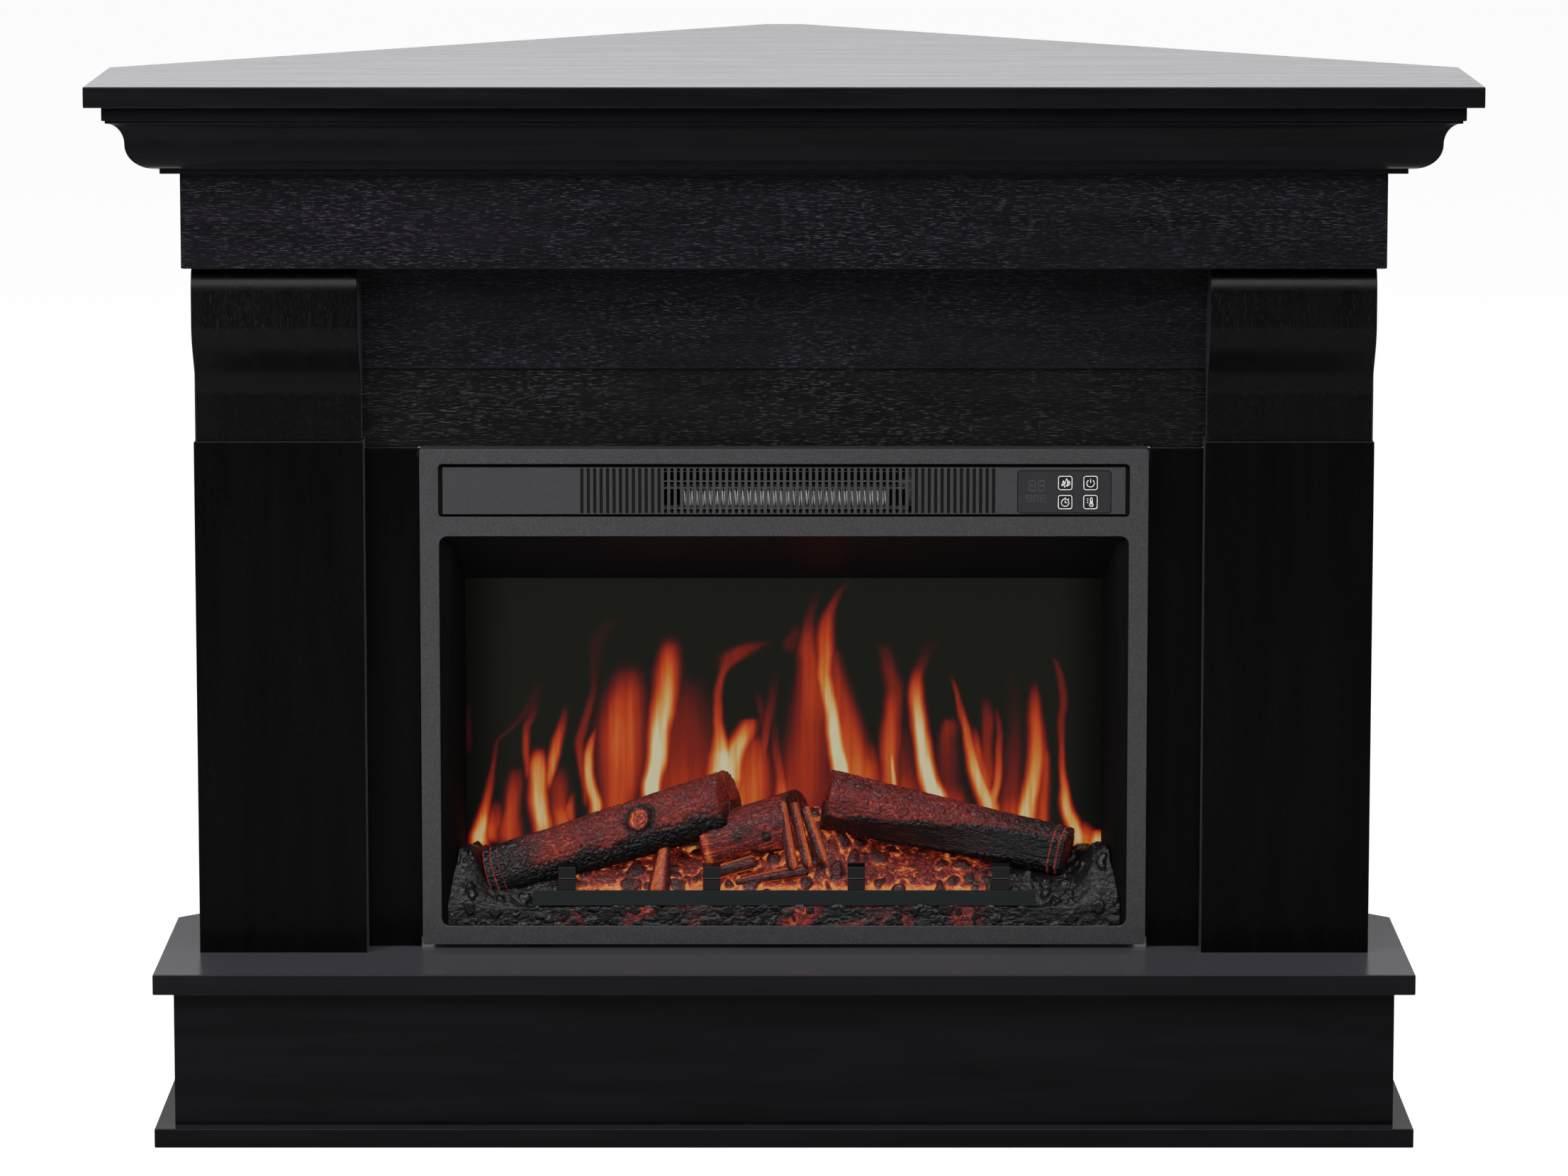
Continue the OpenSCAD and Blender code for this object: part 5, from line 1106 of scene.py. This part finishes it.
def left_look(distance, angle, radius, rim):
    around = (distance, radius * math.cos(angle), radius * math.sin(angle))
    height, depth = bark(around, 0.0)
    grooves, groove = split_wood(around, 2.0)
    far = math.hypot(distance - knot_place, (angle - knot_angle) * radius)
    upper = smooth(math.sin(angle) + 0.25 * wave(distance / 22, 3, 1), -0.30, 0.12)
    burnt = smooth(distance, 6, 70) * upper
    burnt *= patches(distance, angle, 6.0)
    char = (1 - upper) * smooth(distance, 60, 10)
    tall = height * (1 - char) + grooves * char
    ring = math.exp(-((far - knot_r) / 1.6) ** 2)
    moat = math.exp(-((far - knot_r - 4.0) / 2.2) ** 2)
    inside = 1 - smooth(far, knot_r - 2.5, knot_r - 0.5)
    tall = tall * (1 - inside) + 1.0 * ring - 0.5 * moat + inside * 0.3 * math.sin(far * 1.7)
    burnt *= 1 - 0.8 * moat
    glow = burnt * (0.10 + 0.46 * depth * smooth(burnt, 0.3, 0.9))
    band = bands(distance) * smooth(distance, 17, 13)
    glow += 0.34 * band * (0.5 + 0.5 * groove)
    swirl = wave(distance / 4, angle * radius / 4, 2.0)
    hollow = inside * (0.34 + 0.24 * math.cos(far * 1.5 + 3 * swirl) + 0.2 * swirl)
    glow = glow * (1 - max(ring, inside)) + hollow
    end = 1 - rim
    red = burnt * 0.95 + 0.9 * inside + end * 0.5 + 0.8 * band
    end_glow = 0.42 if distance < 60 else 0.36
    glow = glow * (1 - end) + end * end_stripes(angle, radius, rim) * end_glow
    return tall * 2.4 - 1.6, min(1.0, red * (1 - 0.8 * ring * (1 - inside))), glow


def right_look(distance, angle, radius, rim):
    around = (distance, radius * math.cos(angle), radius * math.sin(angle))
    height, depth = bark(around, 11.0)
    grooves, groove = split_wood(around, 13.0)
    split_middle = math.radians(-52 + 48 * smooth(distance, 0, 200))
    split_reach = 0.86
    split = min(1.0, split_reach / max(0.05, math.cos(angle - split_middle)))
    flat = smooth(1 - split, 0.0, 0.03)
    wander = 0.18 * wave(distance / 26, 1, 4)
    level = -0.25 + 0.85 * smooth(distance, 0, 200)
    upper = smooth(math.sin(angle) + wander, level, level + 0.2) * (1 - flat)
    inner = smooth(distance, 215, 130)
    burnt = upper * (0.30 + 0.70 * inner)
    burnt *= patches(distance, angle, 16.0)
    tall = (height * 2.4 - 1.4) * (1 - flat) + (grooves * 1.3 - 0.6) * flat
    edge = math.exp(-((math.sin(angle) + wander - level - 0.04) / 0.09) ** 2)
    past_band = distance - 221
    band = bands(past_band) * smooth(past_band, -4, 0)
    end = 1 - rim
    glow = burnt * (0.10 + 0.48 * depth * smooth(burnt, 0.25, 0.8))
    glow += edge * (0.18 + 0.3 * depth) * (0.4 + 0.6 * inner)
    glow += 0.14 * flat * groove * inner + 0.34 * band * (0.5 + 0.5 * groove)
    end_glow = 0.34 if distance > 120 else 0.12
    glow = glow * (1 - end) + end * end_stripes(angle, radius, rim) * end_glow
    red = burnt * 0.95 + 0.35 * edge + 0.10 * flat * inner + 0.45 * end + 0.8 * band
    return tall - radius * (1 - split), min(1.0, red), glow


left_low, left_high = (-278, -245.5, 227), (-52, -229, 295)
right_high, right_low = (40, -229, 296), (268, -237, 247)
for name, ends, radii, look, cut, node in (
        ("left_log_bark", (left_low, left_high), (24.0, 28.5), left_look, (-0.15, -0.40),
            "left_log"),
        ("right_log_bark", (right_high, right_low), (28.0, 22.5), right_look, (0.10, -0.25),
            "right_log")):
    log_mesh = log_on(*ends, *radii, look, 400, 176, cut)
    log_piece = piece(name, log_mesh, resin, replaced=(node,))
    log_piece.data.shade_smooth()

# ---- Grate ----
# A flat steel rail that stands on the ledge, and four folded clips hooked over it, each
# with a pressed bead across its front.
rail_paint = powder("rail_paint", (0.010, 0.013, 0.014), 0.6, strength=0.1, shine=0.15)
eased("grate_rail", 0.3 * mm, rail_paint, "grate_rail_painted", segments=1)
clip_paint = powder("clip_paint", (0.0016, 0.0016, 0.0016), 0.30, strength=0.1)
eased("grate_clips", 0.25 * mm, clip_paint, "grate_clips_painted")
clip_low, clip_high = (Vector(corner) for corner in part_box("grate_clips"))
clip_wide, clip_count = 16.5 * mm, 4
bead_r, bead_drop = 0.7 * mm, 13 * mm
clip_step = (clip_high.x - clip_low.x - clip_wide) / (clip_count - 1)
beads = bmesh.new()
for number in range(clip_count):
    cross_rod(beads, (clip_low.x + clip_wide / 2 + number * clip_step, clip_low.y,
        clip_high.z - bead_drop), clip_wide - 2 * bead_r, bead_r, 12)
even_shading(piece("grate_clip_beads", beads, clip_paint))

# ---- Housing ----
# Sheet-steel housing and slotted rear cover, in a black powder coat; the mains cord's
# gland is moulded rubber.
sheet_black = powder("sheet_black", (0.016, 0.016, 0.017), 0.48)
dress(sheet_black, "firebox_shell")
eased("rear_cover", 0.2 * mm, sheet_black, "rear_cover_pressed", segments=1)
gland_rubber = powder("gland_rubber", (0.010, 0.010, 0.010), 0.6, strength=0.1)
eased("cord_gland", 0.4 * mm, gland_rubber, "cord_gland_moulded")

# ---- Blower and flame mechanism ----
# A dull dark blower housing, a light-metal wheel and a dimpled foil rod on small steel
# motors, and white lamp boards, all inside the insert's housing.
blower_zinc = powder("dull_zinc", (0.020, 0.020, 0.021), 0.6, grain=160, strength=0.05,
    metallic=1.0)
dress(blower_zinc, "blower_housing")
light_metal = powder("light_metal", (0.78, 0.79, 0.80), 0.25, grain=240, strength=0.05,
    metallic=1.0)
dress(light_metal, "blower_wheel", "flicker_rod")
motor_steel = powder("motor_steel", (0.30, 0.30, 0.31), 0.4, grain=300, strength=0.05,
    metallic=1.0)
dress(motor_steel, "blower_motor", "flicker_motor")
dress(powder("solder_mask", (0.010, 0.070, 0.028), 0.35, grain=700), "control_board")
dress(powder("lamp_board", (0.70, 0.70, 0.66), 0.4, grain=700), "led_strips")

# ---- Fixings ----
# Zinc-plated: bent angles hold the insert's housing in the opening, and screws hold them
# and the base.
zinc = powder("zinc_plate", (0.52, 0.52, 0.50), 0.34, grain=160, strength=0.05, metallic=1.0)
dress(zinc, "insert_brackets", "insert_screws", "mantel_screws")
